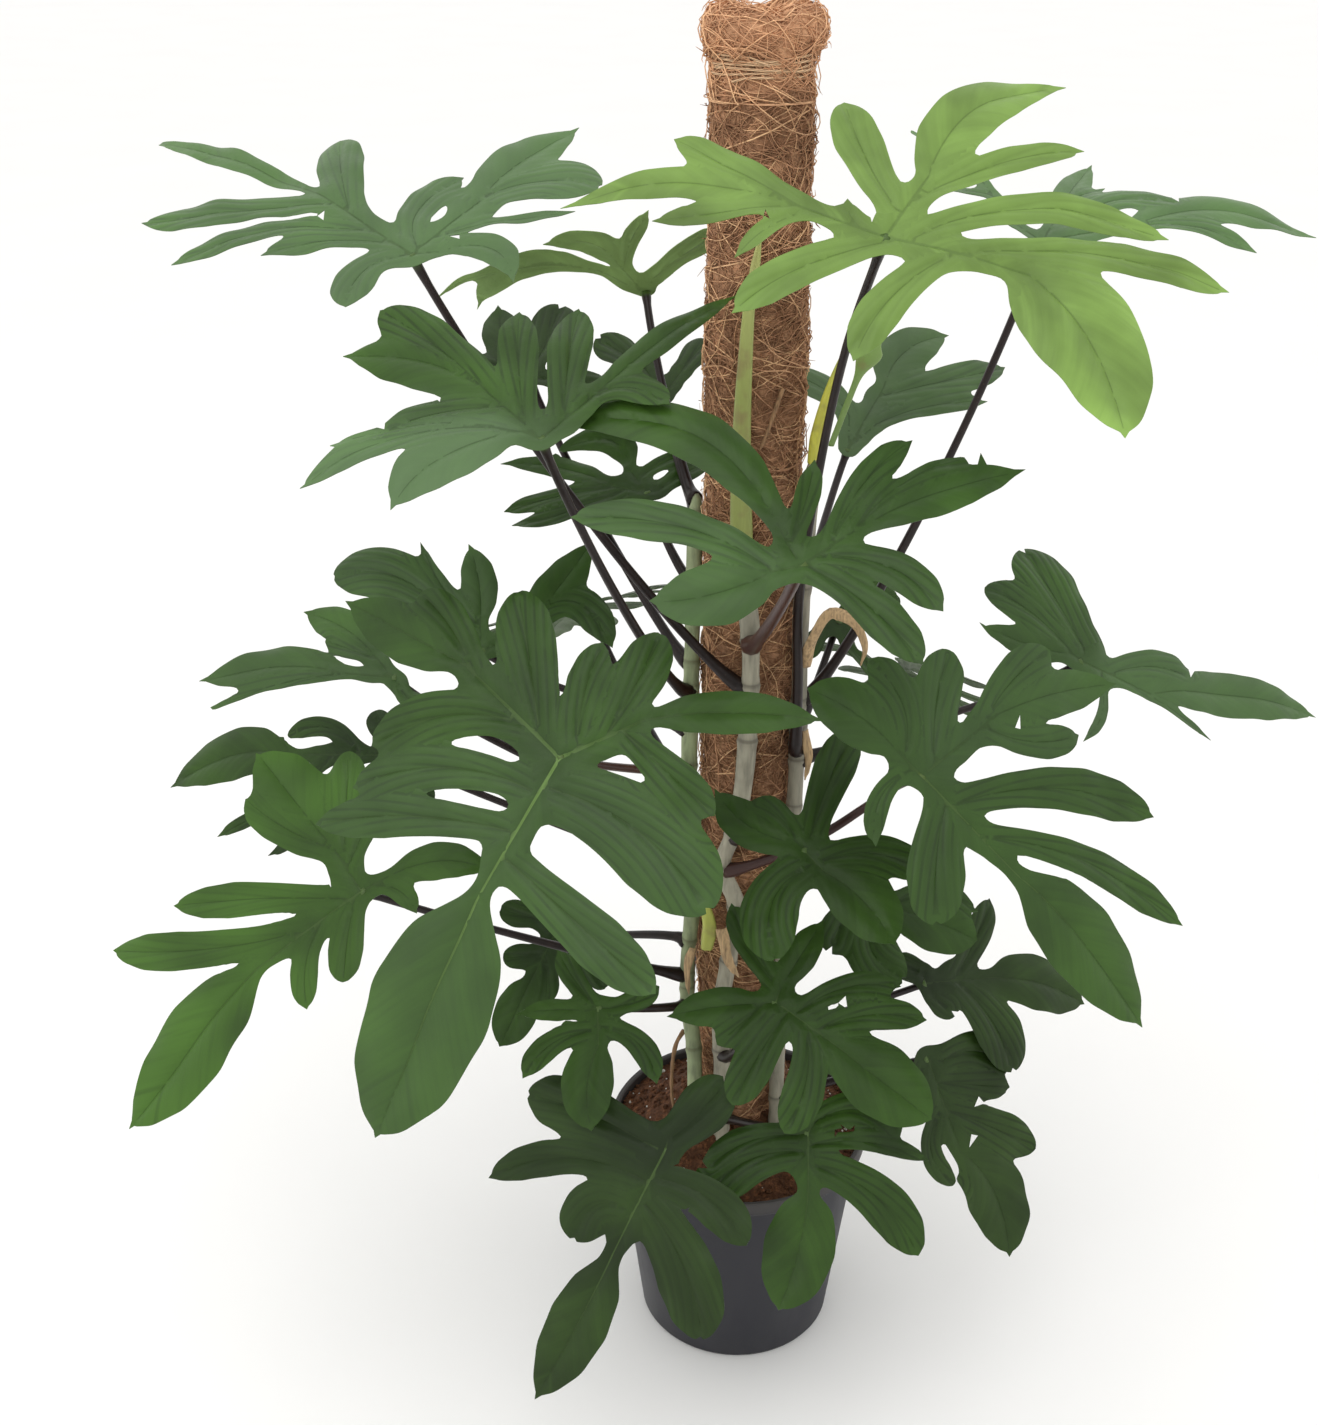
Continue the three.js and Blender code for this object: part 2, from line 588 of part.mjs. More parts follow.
function ribOutlines(base, { to, tip, left, right }) {
  const end = polar(to);
  const length = Math.hypot(...end);
  const along = unit(end);
  const slots = Math.max(left.length, right.length);
  const half = Math.min(9, 4 + length * 0.06);
  const stations = [];
  for (let i = 0; i < slots; i += 1) stations.push((i + 0.22) / slots, (i + 0.84) / slots);
  stations.push(1);
  const start = middle(...base);
  const rows = stations.map((t) => {
    const centre = plus(start, minus(end, start), t);
    const reach = half * (t < 1 ? 1 : 0.6);
    return [plus(centre, rightOf(along), -reach), plus(centre, rightOf(along), reach)];
  });
  const outlines = [stripOutline(base, rows)];
  for (let i = 0; i < slots; i += 1) {
    const [near, far] = [rows[2 * i], rows[2 * i + 1]];
    if (left[i]) outlines.push(lobeOutline([near[0], far[0]], left[i], STRAP_ROWS));
    if (right[i]) outlines.push(lobeOutline([far[1], near[1]], right[i], STRAP_ROWS));
  }
  outlines.push(lobeOutline(rows.at(-1), tip, slots > 0 ? OVAL_ROWS : STRAP_ROWS));
  return outlines;
}

function signedArea(outline) {
  return outline.reduce((sum, [u, v], i) => {
    const [nextU, nextV] = outline[(i + 1) % outline.length];
    return sum + (u * nextV - nextU * v) / 2;
  }, 0);
}

function flatBlade(ribs) {
  const bearings = ribs.map(({ to }) => to[0]);
  const turn = (from, to) => (((to - from) % 360) + 360) % 360;
  const corners = bearings.map((bearing, i) => {
    const gap = turn(bearing, bearings[(i + 1) % 3]);
    return polar([bearing + gap / 2, JUNCTION_RADIUS]);
  });
  const strips = ribs.flatMap((one, i) => ribOutlines([corners[(i + 2) % 3], corners[i]], one));
  const outlines = [corners, ...strips];
  const facing = outlines.map((outline) => (signedArea(outline) < 0 ? [...outline].reverse() : outline));
  return new CrossSection(facing, 'NonZero').simplify(OUTLINE_STEP);
}

// The plate: the flat blade given its thickness and lifted into its own plane, sagging with distance
function plate(flat, place) {
  return flat.extrude(BLADE_THICKNESS).warp((spot) => {
    const [u, v, w] = spot;
    const sag = (SAG * (u * u + v * v)) / SAG_REACH ** 2;
    const point = place.at.clone().addScaledVector(place.forward, u).addScaledVector(place.right, v);
    point.addScaledVector(place.normal, BLADE_THICKNESS / 2 - w - sag);
    [spot[0], spot[1], spot[2]] = point.toArray();
  });
}

function leafPlace({ at, heading, fall, roll }) {
  const [turn, down, tilt] = [heading, fall, roll].map(radians);
  const flatShare = Math.cos(down);
  const forward = new THREE.Vector3(Math.sin(turn) * flatShare, -Math.cos(turn) * flatShare, -Math.sin(down));
  const level = new THREE.Vector3().crossVectors(forward, new THREE.Vector3(0, 0, 1)).normalize();
  const up = new THREE.Vector3().crossVectors(level, forward);
  const normal = up.clone().multiplyScalar(Math.cos(tilt)).addScaledVector(level, Math.sin(tilt));
  const right = new THREE.Vector3().crossVectors(forward, normal);
  return { at: vector(at), forward, right, normal };
}

// The petiole: up and out from its vine, then over into the junction
function petiole({ vine, node, via = [] }, place) {
  const centre = vineAt(vine, node);
  const end = place.at.clone().addScaledVector(place.normal, BLADE_THICKNESS * 1.2);
  const aim = via.length > 0 ? vector(via[0]) : end;
  const out = aim.clone().sub(centre).setZ(0).normalize();
  const climb = Math.max(0, aim.clone().sub(centre).normalize().z);
  const rise = out.clone().addScaledVector(new THREE.Vector3(0, 0, 1), climb).normalize();
  const stand = VINES[vine].radius + 3 * GAP + PETIOLE_FOOT_RADIUS * rise.z;
  const start = centre.clone().addScaledVector(out, stand);
  const length = start.distanceTo(end);
  const arrive = end.clone().sub(via.length > 0 ? vector(via.at(-1)) : start).normalize();
  arrive.addScaledVector(place.normal, 0.8).normalize();
  const path = via.length > 0
    ? new THREE.CatmullRomCurve3([start, ...via.map(vector), end], false, 'centripetal')
    : new THREE.CubicBezierCurve3(
      start,
      start.clone().addScaledVector(rise, 0.2 * length),
      end.clone().addScaledVector(arrive, -0.3 * length),
      end,
    );
  const taper = PETIOLE_TIP_RADIUS - PETIOLE_FOOT_RADIUS;
  const radiusAt = (t) => PETIOLE_FOOT_RADIUS + taper * Math.min(1, 2 * t);
  return bar(path, radiusAt, 6, 7);
}

function leaf(plan, index) {
  const place = leafPlace(plan);
  const blade = plate(flatBlade(plan.ribs), place);
  const name = `leaf_${String(index + 1).padStart(2, '0')}`;
  add(name, toGeometry(blade.add(toSolid(petiole(plan, place)))), plan.finish);
}

pot();
soil();
stake();
coirWrap();
twine();
vines();
TRIM.forEach(trim);
LEAVES.forEach(leaf);

export default group;
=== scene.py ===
"""A potted philodendron pedatum on a coir pole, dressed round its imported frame.

The plans below are in millimetres and degrees, as on a drawing. Meshes are in metres, +Z up, the front at -Y.
"""

import math
import random

import bpy
import numpy as np
import mathutils.geometry
from mathutils import Matrix, Vector, noise


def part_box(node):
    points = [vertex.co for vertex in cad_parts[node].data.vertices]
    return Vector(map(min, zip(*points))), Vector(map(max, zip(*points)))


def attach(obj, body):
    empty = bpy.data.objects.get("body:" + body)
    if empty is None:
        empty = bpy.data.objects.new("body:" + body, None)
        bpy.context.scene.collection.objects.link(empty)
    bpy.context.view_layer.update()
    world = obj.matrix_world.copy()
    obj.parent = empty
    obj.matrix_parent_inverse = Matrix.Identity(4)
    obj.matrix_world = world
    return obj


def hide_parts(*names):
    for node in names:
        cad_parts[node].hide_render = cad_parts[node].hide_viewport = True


bl_info = {
    "name": "Potted philodendron pedatum",
    "version": (1, 0, 0),
    "blender": (4, 5, 0),
    "location": "View3D > Sidebar > Plant",
    "description": "Builds the looks of a potted philodendron on its coir pole",
    "category": "Add Mesh",
}

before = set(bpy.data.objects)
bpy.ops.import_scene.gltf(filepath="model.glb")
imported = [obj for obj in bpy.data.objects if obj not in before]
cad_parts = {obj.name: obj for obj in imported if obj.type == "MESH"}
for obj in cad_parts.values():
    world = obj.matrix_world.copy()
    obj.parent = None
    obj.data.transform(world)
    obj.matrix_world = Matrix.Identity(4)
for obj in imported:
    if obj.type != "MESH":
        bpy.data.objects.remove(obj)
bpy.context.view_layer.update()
POT_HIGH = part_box("pot")[1]
SOIL_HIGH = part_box("soil")[1]
COIR_LOW, COIR_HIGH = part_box("coir_wrap")

MM = 0.001
UP = Vector((0, 0, 1))

# Camera: the photograph's height in pixels, and the view fitted to the pot's rim and the pole
PHOTO_HEIGHT = 1425
FOCAL_PIXELS = 1837
CAMERA_SPOT = (-0.074, -1.383, 1.331)
CAMERA_FALL = math.radians(26.5)
SENSOR = 36

# Vines: the line each one climbs, from the soil up, and its radius
VINES = {
    "front": {
        "radius": 8,
        "route": [
            (-16, -50, 150), (-17, -50, 240), (-18, -49, 320), (-20, -48, 373), (-14, -47.5, 423),
            (-8, -47.5, 480), (-21, -48, 520), (-12, -47.5, 552), (-5, -47.5, 593), (-1, -47.5, 720),
            (-6, -47.5, 775),
        ],
    },
    "right": {
        "radius": 7,
        "route": [
            (30, -40, 150), (32, -38, 240), (34, -34, 462), (40, -25, 566), (41, -24, 663), (40, -25, 753),
            (43, -28, 820), (46, -32, 880),
        ],
    },
    "left": {
        "radius": 7,
        "route": [
            (-42, -44, 150), (-42, -44, 250), (-43, -37, 322), (-49, -28, 370), (-49, -22, 409),
            (-45, -26, 472), (-47, -20, 519), (-49, -16, 588), (-48, -10, 658), (-46, 8, 760), (-44, 16, 830),
        ],
    },
}


def rib(to, web, tip, *lobes):
    """One rib of a blade: it runs to (bearing, reach), with web mm of blade on each side of it. Its tip lobe
    is (bearing, reach, width, swing) and its side lobes are (bearing, reach, width, start, swing). start: the
    share of the rib where the lobe leaves it. swing: how far the lobe's middle swings to the right.
    """
    return {"to": to, "web": web, "tip": tip, "lobes": lobes}


def leaf(at, heading, fall, roll, vine, node, *ribs, finish="leaf", tone=0, midrib=0.12, **more):
    """The plan of one leaf. at: where its petiole meets its blade. heading: the way its midrib points, 0 to
    the front and 90 to the right. fall: degrees below level. roll: degrees about the midrib. vine, node: the
    vine and the height at which the petiole starts. ribs: the midrib, then the two back ribs clockwise. tone:
    how dark the blade is, partly its own green and partly painted light, sheen and shade. midrib: how pale its
    main rib is. more: via, the points its petiole passes; ovate, for a broad end lobe; rib_tones and
    bloom, the tone and the painted sheen, a pale grey-green, round each rib; pleat, how strong its fine
    veins are; stalk and wine, how thick and how red its petiole is.
    """
    return {
        "at": at, "heading": heading, "fall": fall, "roll": roll, "vine": vine, "node": node, "ribs": ribs,
        "finish": finish, "tone": tone, "midrib": midrib, **more,
    }


# Bare joints of the vines, where leaves have dropped, as heights in mm
VINE_SCARS = {
    "front": [372, 423, 480, 640, 668],
    "right": [462, 566, 715],
    "left": [322, 472, 519],
}

# Leaves, from the top down, then three at the back
LEAVES = [
    leaf(
        (70, -200, 1080), 85, 10, 40, "right", 625,
        rib((2, 95), 11, (30, 195, 78, -12), (-17, 190, 26, 0.15, -23), (-8, 230, 26, 0.5, -10),
            (140, 110, 28, 0.1, 8), (94, 90, 28, 0.5, 10)),
        rib((-168, 60), 11, (177, 205, 24, 16), (-161, 150, 28, 1, 2), (175, 145, 16, 1, 0),
            (161, 95, 12, 0.85, 4), (-141, 35, 12, 0.2, -4)),
        rib((-69, 60), 11, (-58, 195, 42, -20), (-111, 110, 34, 0.35, -4), (-42, 160, 20, 0.5, -10)),
        finish="young_leaf", midrib=0.3, ovate=True, rib_tones=(0.08, 0.33, 0.05),
        via=[(38, -42, 690), (36, -46, 763), (47, -66, 885), (57, -112, 982)],
    ),
    leaf(
        (-260, 0, 1025), -130, -15, -25, "front", 690,
        rib((4, 115), 12, (0, 340, 22, 2), (23, 175, 40, 0.65, -2), (-20, 245, 32, 0.8, 2),
            (-32, 195, 24, 0.35, 14), (-34, 115, 22, 0.15, 10)),
        rib((88, 75), 10, (85, 195, 46, -8), (109, 155, 52, 0.9, -20), (119, 125, 10, 0.3, -4),
            (68, 90, 32, 0.1, -18)),
        rib((133, 20), 9, (161, 85, 30, -20), (-88, 65, 34, 0, 16)),
        tone=-0.35, bloom=(0.24, 0.32, 0.28),
    ),
    leaf(
        (230, 90, 1015), 100, -5, 20, "right", 665,
        rib((-5, 75), 11, (2, 230, 46, -28), (-18, 135, 32, 0.45, -26), (10, 170, 20, 0.9, -18)),
        rib((-112, 40), 6, (-99, 255, 12, 8), (-118, 120, 12, 0.8, 20)),
        rib((-53, 35), 7, (-54, 145, 28, -2), (-43, 105, 14, 0.85, -8)),
        tone=-0.5, bloom=(0.3, 0.3, 0.3),
    ),
    leaf(
        (-85, 110, 970), -75, -25, 50, "left", 828,
        rib((-26, 35), 8, (-7, 95, 32, -16), (-62, 95, 16, 0.85, 4)),
        rib((-2, 45), 8, (37, 140, 30, -32), (30, 170, 8, 1, -20)),
        rib((-81, 20), 5, (-99, 100, 24, 2)),
        finish="young_leaf", tone=0.02,
    ),
    leaf(
        (-155, -180, 940), -90, 5, -30, "left", 670,
        rib((33, 15), 10, (-24, 110, 50, 14), (-5, 165, 26, 0.75, 22), (7, 145, 10, 0.75, 14)),
        rib((53, 60), 12, (38, 180, 52, 12), (52, 190, 40, 1, 4), (15, 110, 28, 0.7, 6),
            (83, 130, 30, 0.3, -2)),
        rib((137, 45), 14, (135, 200, 24, -4), (102, 130, 32, 0.5, -2), (164, 90, 28, 0.85, -18)),
        tone=-0.05, rib_tones=(-0.2, 0, 0.1), bloom=(0.34, 0, 0.02),
    ),
    leaf(
        (-185, 140, 890), -135, -20, -25, "left", 690,
        rib((0, 35), 9, (22, 90, 34, 0), (-25, 65, 24, 0.4, -2)),
        rib((61, 35), 9, (58, 80, 40, 0)),
        rib((141, 25), 8, (143, 60, 28, 0)),
        finish="old_leaf", tone=0.2, midrib=0.1,
    ),
    leaf(
        (-70, 120, 880), 150, -25, 20, "left", 815,
        rib((0, 35), 9, (1, 75, 26, 0)),
        rib((-136, 10), 7, (-132, 50, 30, 0)),
        rib((-56, 35), 9, (-67, 80, 36, 0)),
        finish="old_leaf", tone=0.2, midrib=0.1,
    ),
    leaf(
        (20, -250, 875), -75, 10, -40, "front", 730,
        rib((4, 20), 10, (3, 100, 46, -6), (33, 155, 32, 0.9, 12)),
        rib((79, 20), 13, (51, 210, 42, 42), (116, 80, 18, 0.8, 2)),
        rib((161, 45), 11, (170, 175, 34, -6), (146, 125, 22, 0.55, -8), (161, 155, 8, 1, -10),
            (-145, 95, 28, 0.25, -14), (-122, 100, 30, 0.05, -6)),
        tone=0.02, midrib=0.15, stalk=1.3, wine=0.7, rib_tones=(-0.2, 0, 0), bloom=(0.11, 0.02, 0.05),
    ),
    leaf(
        (85, 100, 840), 145, -25, 30, "right", 765,
        rib((-5, 80), 12, (3, 175, 44, -12), (20, 195, 30, 0.85, 2)),
        rib((10, 40), 7, (28, 150, 20, -6)),
        rib((-27, 35), 9, (-63, 85, 32, 8)),
        finish="old_leaf", tone=-0.1, midrib=0.1, bloom=(0.22, 0.2, 0.24),
    ),
    leaf(
        (-85, 50, 820), -100, 0, -25, "left", 760,
        rib((11, 30), 14, (13, 130, 26, 8), (-12, 115, 22, 0.8, 2), (-24, 110, 20, 0.55, -4)),
        rib((54, 30), 9, (27, 95, 32, 30), (123, 60, 18, 0.55, -6)),
        rib((169, 10), 9, (137, 60, 22, -2)),
        tone=0.24,
    ),
    leaf(
        (-145, -230, 720), -45, 50, -25, "left", 600,
        rib((4, 118), 13, (1, 300, 94, 0), (-72, 145, 67, 0.2, -14), (-49, 175, 40, 0.68, 0),
            (57, 155, 34, 0.25, 16), (50, 190, 32, 0.52, 8)),
        rib((107, 100), 17, (99, 210, 44, 0), (112, 165, 34, 0.9, 4), (137, 125, 46, 0.2, 0),
            (69, 140, 40, 0.35, 14)),
        rib((-140, 65), 13, (-125, 185, 32, -6), (172, 85, 30, 0.2, -4), (-168, 110, 38, 0.55, 2),
            (-97, 115, 30, 0.75, 0)),
        tone=0.06, midrib=1, wine=0.7, rib_tones=(0, 0.14, -0.12), bloom=(0.09, 0.03, 0.03),
    ),
    leaf(
        (115, -220, 700), 70, 40, 40, "front", 520,
        rib((1, 102), 11, (2, 250, 60, -4), (-36, 190, 34, 0.3, -16), (-17, 235, 27, 0.6, -13),
            (42, 100, 46, 0.25, 4)),
        rib((-178, 30), 12, (175, 100, 48, 4), (85, 60, 18, 0.25, 12), (-155, 90, 30, 0.6, 12)),
        rib((-80, 80), 12, (-68, 180, 36, -4), (-85, 145, 34, 0.8, -6), (-117, 95, 38, 0.15, -4),
            (-58, 130, 26, 0.8, 8)),
        midrib=0.3, wine=0.6, bloom=(0.04, 0.04, 0.09),
        via=[(22, -76, 546), (62, -98, 583), (88, -107, 609), (106, -150, 652)],
    ),
    leaf(
        (80, 60, 700), 125, -10, 30, "right", 640,
        rib((0, 30), 9, (2, 60, 34, 0), (-24, 70, 26, 0.4, -2)),
        rib((112, 25), 8, (95, 70, 14, 0)),
        rib((178, 20), 8, (164, 50, 20, 0)),
        tone=0.3, midrib=0.1,
    ),
    leaf(
        (-225, 30, 685), -120, -25, -35, "left", 635,
        rib((8, 40), 10, (-8, 145, 52, 18)),
        rib((48, 25), 8, (44, 100, 32, 4), (23, 115, 10, 0.9, -6)),
        rib((117, 35), 11, (92, 140, 38, 2), (137, 110, 34, 1, -38)),
        bloom=(0.11, 0.09, 0.07),
    ),
    leaf(
        (-295, -10, 680), -100, 0, -30, "left", 545,
        rib((1, 40), 8, (-4, 165, 44, 8), (-15, 175, 6, 1, 4)),
        rib((45, 30), 7, (34, 110, 38, 6), (27, 70, 20, 0.75, 0)),
        rib((-137, 10), 7, (-152, 50, 20, 8)),
        tone=-0.1, bloom=(0.11, 0.09, 0.07),
    ),
    leaf(
        (285, 30, 675), 95, 15, 35, "right", 610,
        rib((14, 65), 8, (-3, 235, 46, -8), (-6, 100, 34, 0.4, -8), (21, 125, 8, 0.45, -4),
            (90, 75, 10, 0.25, -10)),
        rib((-147, 10), 9, (-168, 90, 28, -6), (-145, 100, 38, 1, 6)),
        rib((-81, 15), 11, (-114, 110, 58, 0)),
        tone=-0.14, bloom=(0.2, 0.06, 0.05),
    ),
    leaf(
        (40, -150, 595), 60, 25, 35, "front", 552,
        rib((10, 20), 11, (9, 95, 52, -6), (-29, 95, 32, 0.6, -12), (70, 85, 46, 0.6, 18)),
        rib((-168, 10), 10, (178, 85, 36, -10), (-169, 55, 22, 1, 4)),
        rib((-110, 15), 9, (-107, 110, 34, -2)),
        tone=0.3,
    ),
    leaf(
        (-310, 40, 580), -110, 10, -45, "left", 500,
        rib((1, 105), 9, (-5, 245, 52, 14), (-23, 185, 16, 0.55, -4), (-40, 140, 18, 0.35, -10),
            (10, 115, 20, 0.3, 16)),
        rib((53, 10), 7, (55, 45, 24, 4)),
        rib((-143, 15), 7, (-138, 65, 22, 0)),
        tone=0.38,
    ),
    leaf(
        (-315, -120, 540), -75, 35, -35, "left", 395,
        rib((3, 110), 11, (-5, 280, 72, 0), (35, 180, 30, 0.1, 2), (27, 245, 34, 0.5, -8),
            (-46, 70, 32, 0.05, 2), (-28, 100, 26, 0.35, 8)),
        rib((88, 45), 12, (83, 170, 66, 0), (113, 120, 40, 0.65, 0), (133, 90, 26, 0.55, 0),
            (71, 145, 32, 1, -4)),
        rib((-171, 25), 7, (-152, 110, 32, -10), (-126, 50, 18, 0.3, -8)),
        tone=-0.45, midrib=0.25, pleat=0.3,
    ),
    leaf(
        (95, -10, 460), 95, 15, 45, "right", 400,
        rib((-3, 40), 11, (5, 120, 58, -2), (-8, 120, 20, 0.9, -14), (50, 75, 50, 0.65, 18)),
        rib((114, 10), 7, (108, 40, 36, 0)),
        rib((-81, 10), 7, (-115, 30, 24, 0)),
        tone=0.35,
    ),
    leaf(
        (20, -160, 460), 65, 25, 40, "front", 330,
        rib((1, 60), 15, (2, 150, 60, 0), (-43, 100, 22, 0.3, -10), (-29, 120, 26, 0.65, -8),
            (79, 85, 34, 0.2, 2), (51, 100, 34, 0.5, -8)),
        rib((140, 10), 10, (138, 85, 32, 2), (110, 55, 24, 1, 0)),
        rib((-104, 15), 8, (-94, 75, 28, 0), (-148, 85, 24, 0.75, -4)),
        tone=0.2, midrib=0.18,
    ),
    leaf(
        (-170, 30, 400), -45, 50, -20, "left", 430,
        rib((0, 50), 10, (0, 110, 42, 0), (-20, 60, 24, 0.4, -2), (38, 50, 24, 0.4, 0)),
        rib((105, 20), 8, (87, 55, 26, 0)),
        rib((-80, 35), 9, (-74, 65, 24, 0)),
        tone=0.3, midrib=0.1,
    ),
    leaf(
        (-125, -140, 440), -5, 50, 0, "left", 368,
        rib((-5, 30), 10, (0, 95, 44, 6), (-43, 75, 22, 0.5, -12), (45, 80, 22, 0.6, 10)),
        rib((74, 10), 7, (83, 65, 18, 2), (141, 55, 20, 0, -2)),
        rib((-92, 10), 7, (-111, 50, 20, 2)),
        tone=0.1, midrib=0.15,
    ),
    leaf(
        (170, 10, 360), 110, 10, 45, "right", 335,
        rib((-2, 70), 13, (8, 175, 56, -6), (-41, 115, 28, 0.4, 4), (45, 110, 52, 0.45, -8)),
        rib((68, 15), 7, (54, 30, 28, 0)),
        rib((-102, 10), 7, (-141, 30, 28, 0)),
        finish="old_leaf", tone=0.3, midrib=0.1,
    ),
    leaf(
        (-70, -200, 340), -50, 50, -30, "front", 285,
        rib((-2, 95), 16, (-1, 230, 52, -2), (51, 150, 30, 0.3, 18), (18, 100, 44, 0.6, 16),
            (-41, 145, 54, 0.45, -10), (-73, 95, 36, 0.25, -12)),
        rib((84, 20), 13, (81, 120, 48, 4)),
        rib((167, 10), 10, (-168, 70, 44, 2)),
        finish="old_leaf", tone=0.5, midrib=0.4, pleat=0.5,
    ),
    leaf(
        (50, -170, 335), -5, 50, -5, "front", 262,
        rib((-2, 50), 12, (7, 140, 60, -4), (-81, 100, 16, 0.2, -8), (-46, 130, 40, 0.5, -14),
            (55, 105, 44, 0.3, 14)),
        rib((77, 10), 10, (69, 85, 28, 8)),
        rib((-150, 10), 10, (-95, 75, 34, -14)),
        tone=0.3, midrib=0.2,
    ),
    leaf(
        (170, -30, 305), 35, 55, 10, "right", 268,
        rib((-1, 90), 18, (-6, 195, 62, -14), (-52, 85, 26, 0.25, 0), (-33, 135, 38, 0.55, -2),
            (7, 115, 22, 0.5, 20)),
        rib((70, 5), 6, (44, 40, 26, 0)),
        rib((-60, 15), 9, (-67, 80, 40, -10)),
        finish="old_leaf", tone=0.2,
    ),
    leaf(
        (-140, 190, 660), -155, 30, 0, "left", 570,
        rib((0, 95), 15, (0, 190, 56, 0), (-50, 110, 34, 0.2, 2), (-26, 160, 38, 0.7, -2),
            (50, 110, 34, 0.2, -2), (26, 160, 38, 0.7, 2)),
        rib((120, 60), 11, (108, 135, 38, 0), (150, 105, 32, 0.4, 2)),
        rib((-120, 60), 11, (-108, 135, 38, 0), (-150, 105, 32, 0.4, -2)),
        tone=0.2,
    ),
    leaf(
        (150, 200, 590), 150, 35, 0, "right", 500,
        rib((0, 90), 14, (0, 180, 54, 0), (-48, 105, 34, 0.2, 2), (-26, 150, 36, 0.7, -2),
            (48, 105, 34, 0.2, -2), (26, 150, 36, 0.7, 2)),
        rib((122, 55), 11, (110, 125, 36, 0), (152, 100, 30, 0.4, 2)),
        rib((-122, 55), 11, (-110, 125, 36, 0), (-152, 100, 30, 0.4, -2)),
        tone=0.3,
    ),
    leaf(
        (-20, 210, 400), 175, 40, 0, "left", 380,
        rib((0, 80), 13, (0, 165, 50, 0), (-48, 100, 32, 0.2, 2), (-26, 140, 34, 0.7, -2),
            (48, 100, 32, 0.2, -2), (26, 140, 34, 0.7, 2)),
        rib((122, 50), 10, (110, 115, 36, 0), (152, 90, 28, 0.4, 2)),
        rib((-122, 50), 10, (-110, 115, 36, 0), (-152, 90, 28, 0.4, -2)),
        finish="old_leaf", tone=0.3,
    ),
]


def linear(code):
    """An sRGB hex value as a linear colour."""
    channels = [int(code[i : i + 2], 16) / 255 for i in (0, 2, 4)]
    return [c / 12.92 if c <= 0.04045 else ((c + 0.055) / 1.055) ** 2.4 for c in channels]


def colour(name, description, code):
    """A colour that a user may change."""
    return bpy.props.FloatVectorProperty(
        name=name, description=description, subtype="COLOR", size=3, min=0, max=1, default=linear(code)
    )


def length(name, description, default):
    """A size that a user may change."""
    return bpy.props.FloatProperty(name=name, description=description, default=default, min=0, unit="LENGTH")


def amount(name, description, default, **options):
    """A strength that a user may change."""
    return bpy.props.FloatProperty(name=name, description=description, default=default, **options)


class PotSettings(bpy.types.PropertyGroup):
    rim_radius: length("Rim radius", "Outside radius of the pot's lip", POT_HIGH.x)
    base_radius: length("Base radius", "Outside radius of the pot's underside", 0.090)
    height: length("Height", "Height of the pot", POT_HIGH.z)
    wall: length("Wall", "Thickness of the pot's wall", 0.002)
    lip: length("Lip", "How far the lip stands out from the wall", 0.005)
    lip_height: length("Lip height", "Height of the lip's band", 0.014)
    plastic: colour("Plastic", "Moulded plastic of the pot", "26262c")


class SoilSettings(bpy.types.PropertyGroup):
    edge_height: length("Edge height", "Height of the soil at the pot's wall", 0.209)
    crown_height: length("Crown height", "Height of the soil at the pole", SOIL_HIGH.z)
    peat: colour("Peat", "Damp peat and coir crumb", "6b452c")
    perlite: colour("Perlite", "White expanded grains", "e6e2d8")


class PoleSettings(bpy.types.PropertyGroup):
    radius_low: length("Lower radius", "Radius of the wrap at the soil", 0.039)
    radius_high: length("Upper radius", "Radius of the wrap below the neck", 0.037)
    neck_height: length("Neck height", "Height of the twine that ties the wrap", 1.162)
    top: length("Top", "Height of the pole's top", COIR_HIGH.z)
    fibre: colour("Fibre", "Dry coconut fibre", "d1a07a")
    dark_fibre: colour("Dark fibre", "Shaded and damp coconut fibre", "865e43")
    twine: colour("Twine", "Twisted coir twine", "d4b08a")


class StemSettings(bpy.types.PropertyGroup):
    bark: colour("Bark", "Dry skin of the climbing stems", "9b9684")
    sheath: colour("Dry sheath", "Dried papery leaf sheath", "b99b74")
    petiole: colour("Petiole", "Dark skin of the leaf stalks", "1f1412")


class LeafSettings(bpy.types.PropertyGroup):
    thickness: length("Thickness", "Thickness of a blade", 0.0006)
    young: colour("Young", "Young leaves", "6b8740")
    grown: colour("Grown", "Grown leaves", "2d4714")
    old: colour("Old", "Oldest leaves", "293e14")
    vein_spacing: length("Vein spacing", "Distance between the fine side veins", 0.0066)


class StageSettings(bpy.types.PropertyGroup):
    floor: colour("Floor", "Plain pale floor", "f2f1ef")
    room_light: amount("Room light", "Strength of the white surroundings", 1.14)
    key_power: amount("Key power", "Power of the main light", 22, unit="POWER")
    fill_power: amount("Fill power", "Power of the fill light", 6, unit="POWER")


SETTINGS = {
    "pot_settings": PotSettings,
    "soil_settings": SoilSettings,
    "pole_settings": PoleSettings,
    "stem_settings": StemSettings,
    "leaf_settings": LeafSettings,
    "stage_settings": StageSettings,
}


def settings(name):
    return getattr(bpy.context.scene, name)


# Meshes

# Points closer than this, in metres, are one point
WELD = 1e-5


def in_scene(name, data):
    """A new object in the scene."""
    made = bpy.data.objects.new(name, data)
    bpy.context.scene.collection.objects.link(made)
    return made


def new_piece(name, points, faces, materials, smooth=True):
    """A mesh piece with its place in its mesh."""
    mesh = bpy.data.meshes.new(name)
    mesh.from_pydata([tuple(p) for p in points], [], faces)
    mesh.update()
    for material in materials:
        mesh.materials.append(material)
    if smooth:
        mesh.polygons.foreach_set("use_smooth", [True] * len(mesh.polygons))
    return in_scene(name, mesh)


def set_values(piece, name, values):
    """A number for each point of the piece, that its material reads."""
    layer = piece.data.attributes.new(name, "FLOAT", "POINT")
    layer.data.foreach_set("value", np.asarray(values, np.float32))


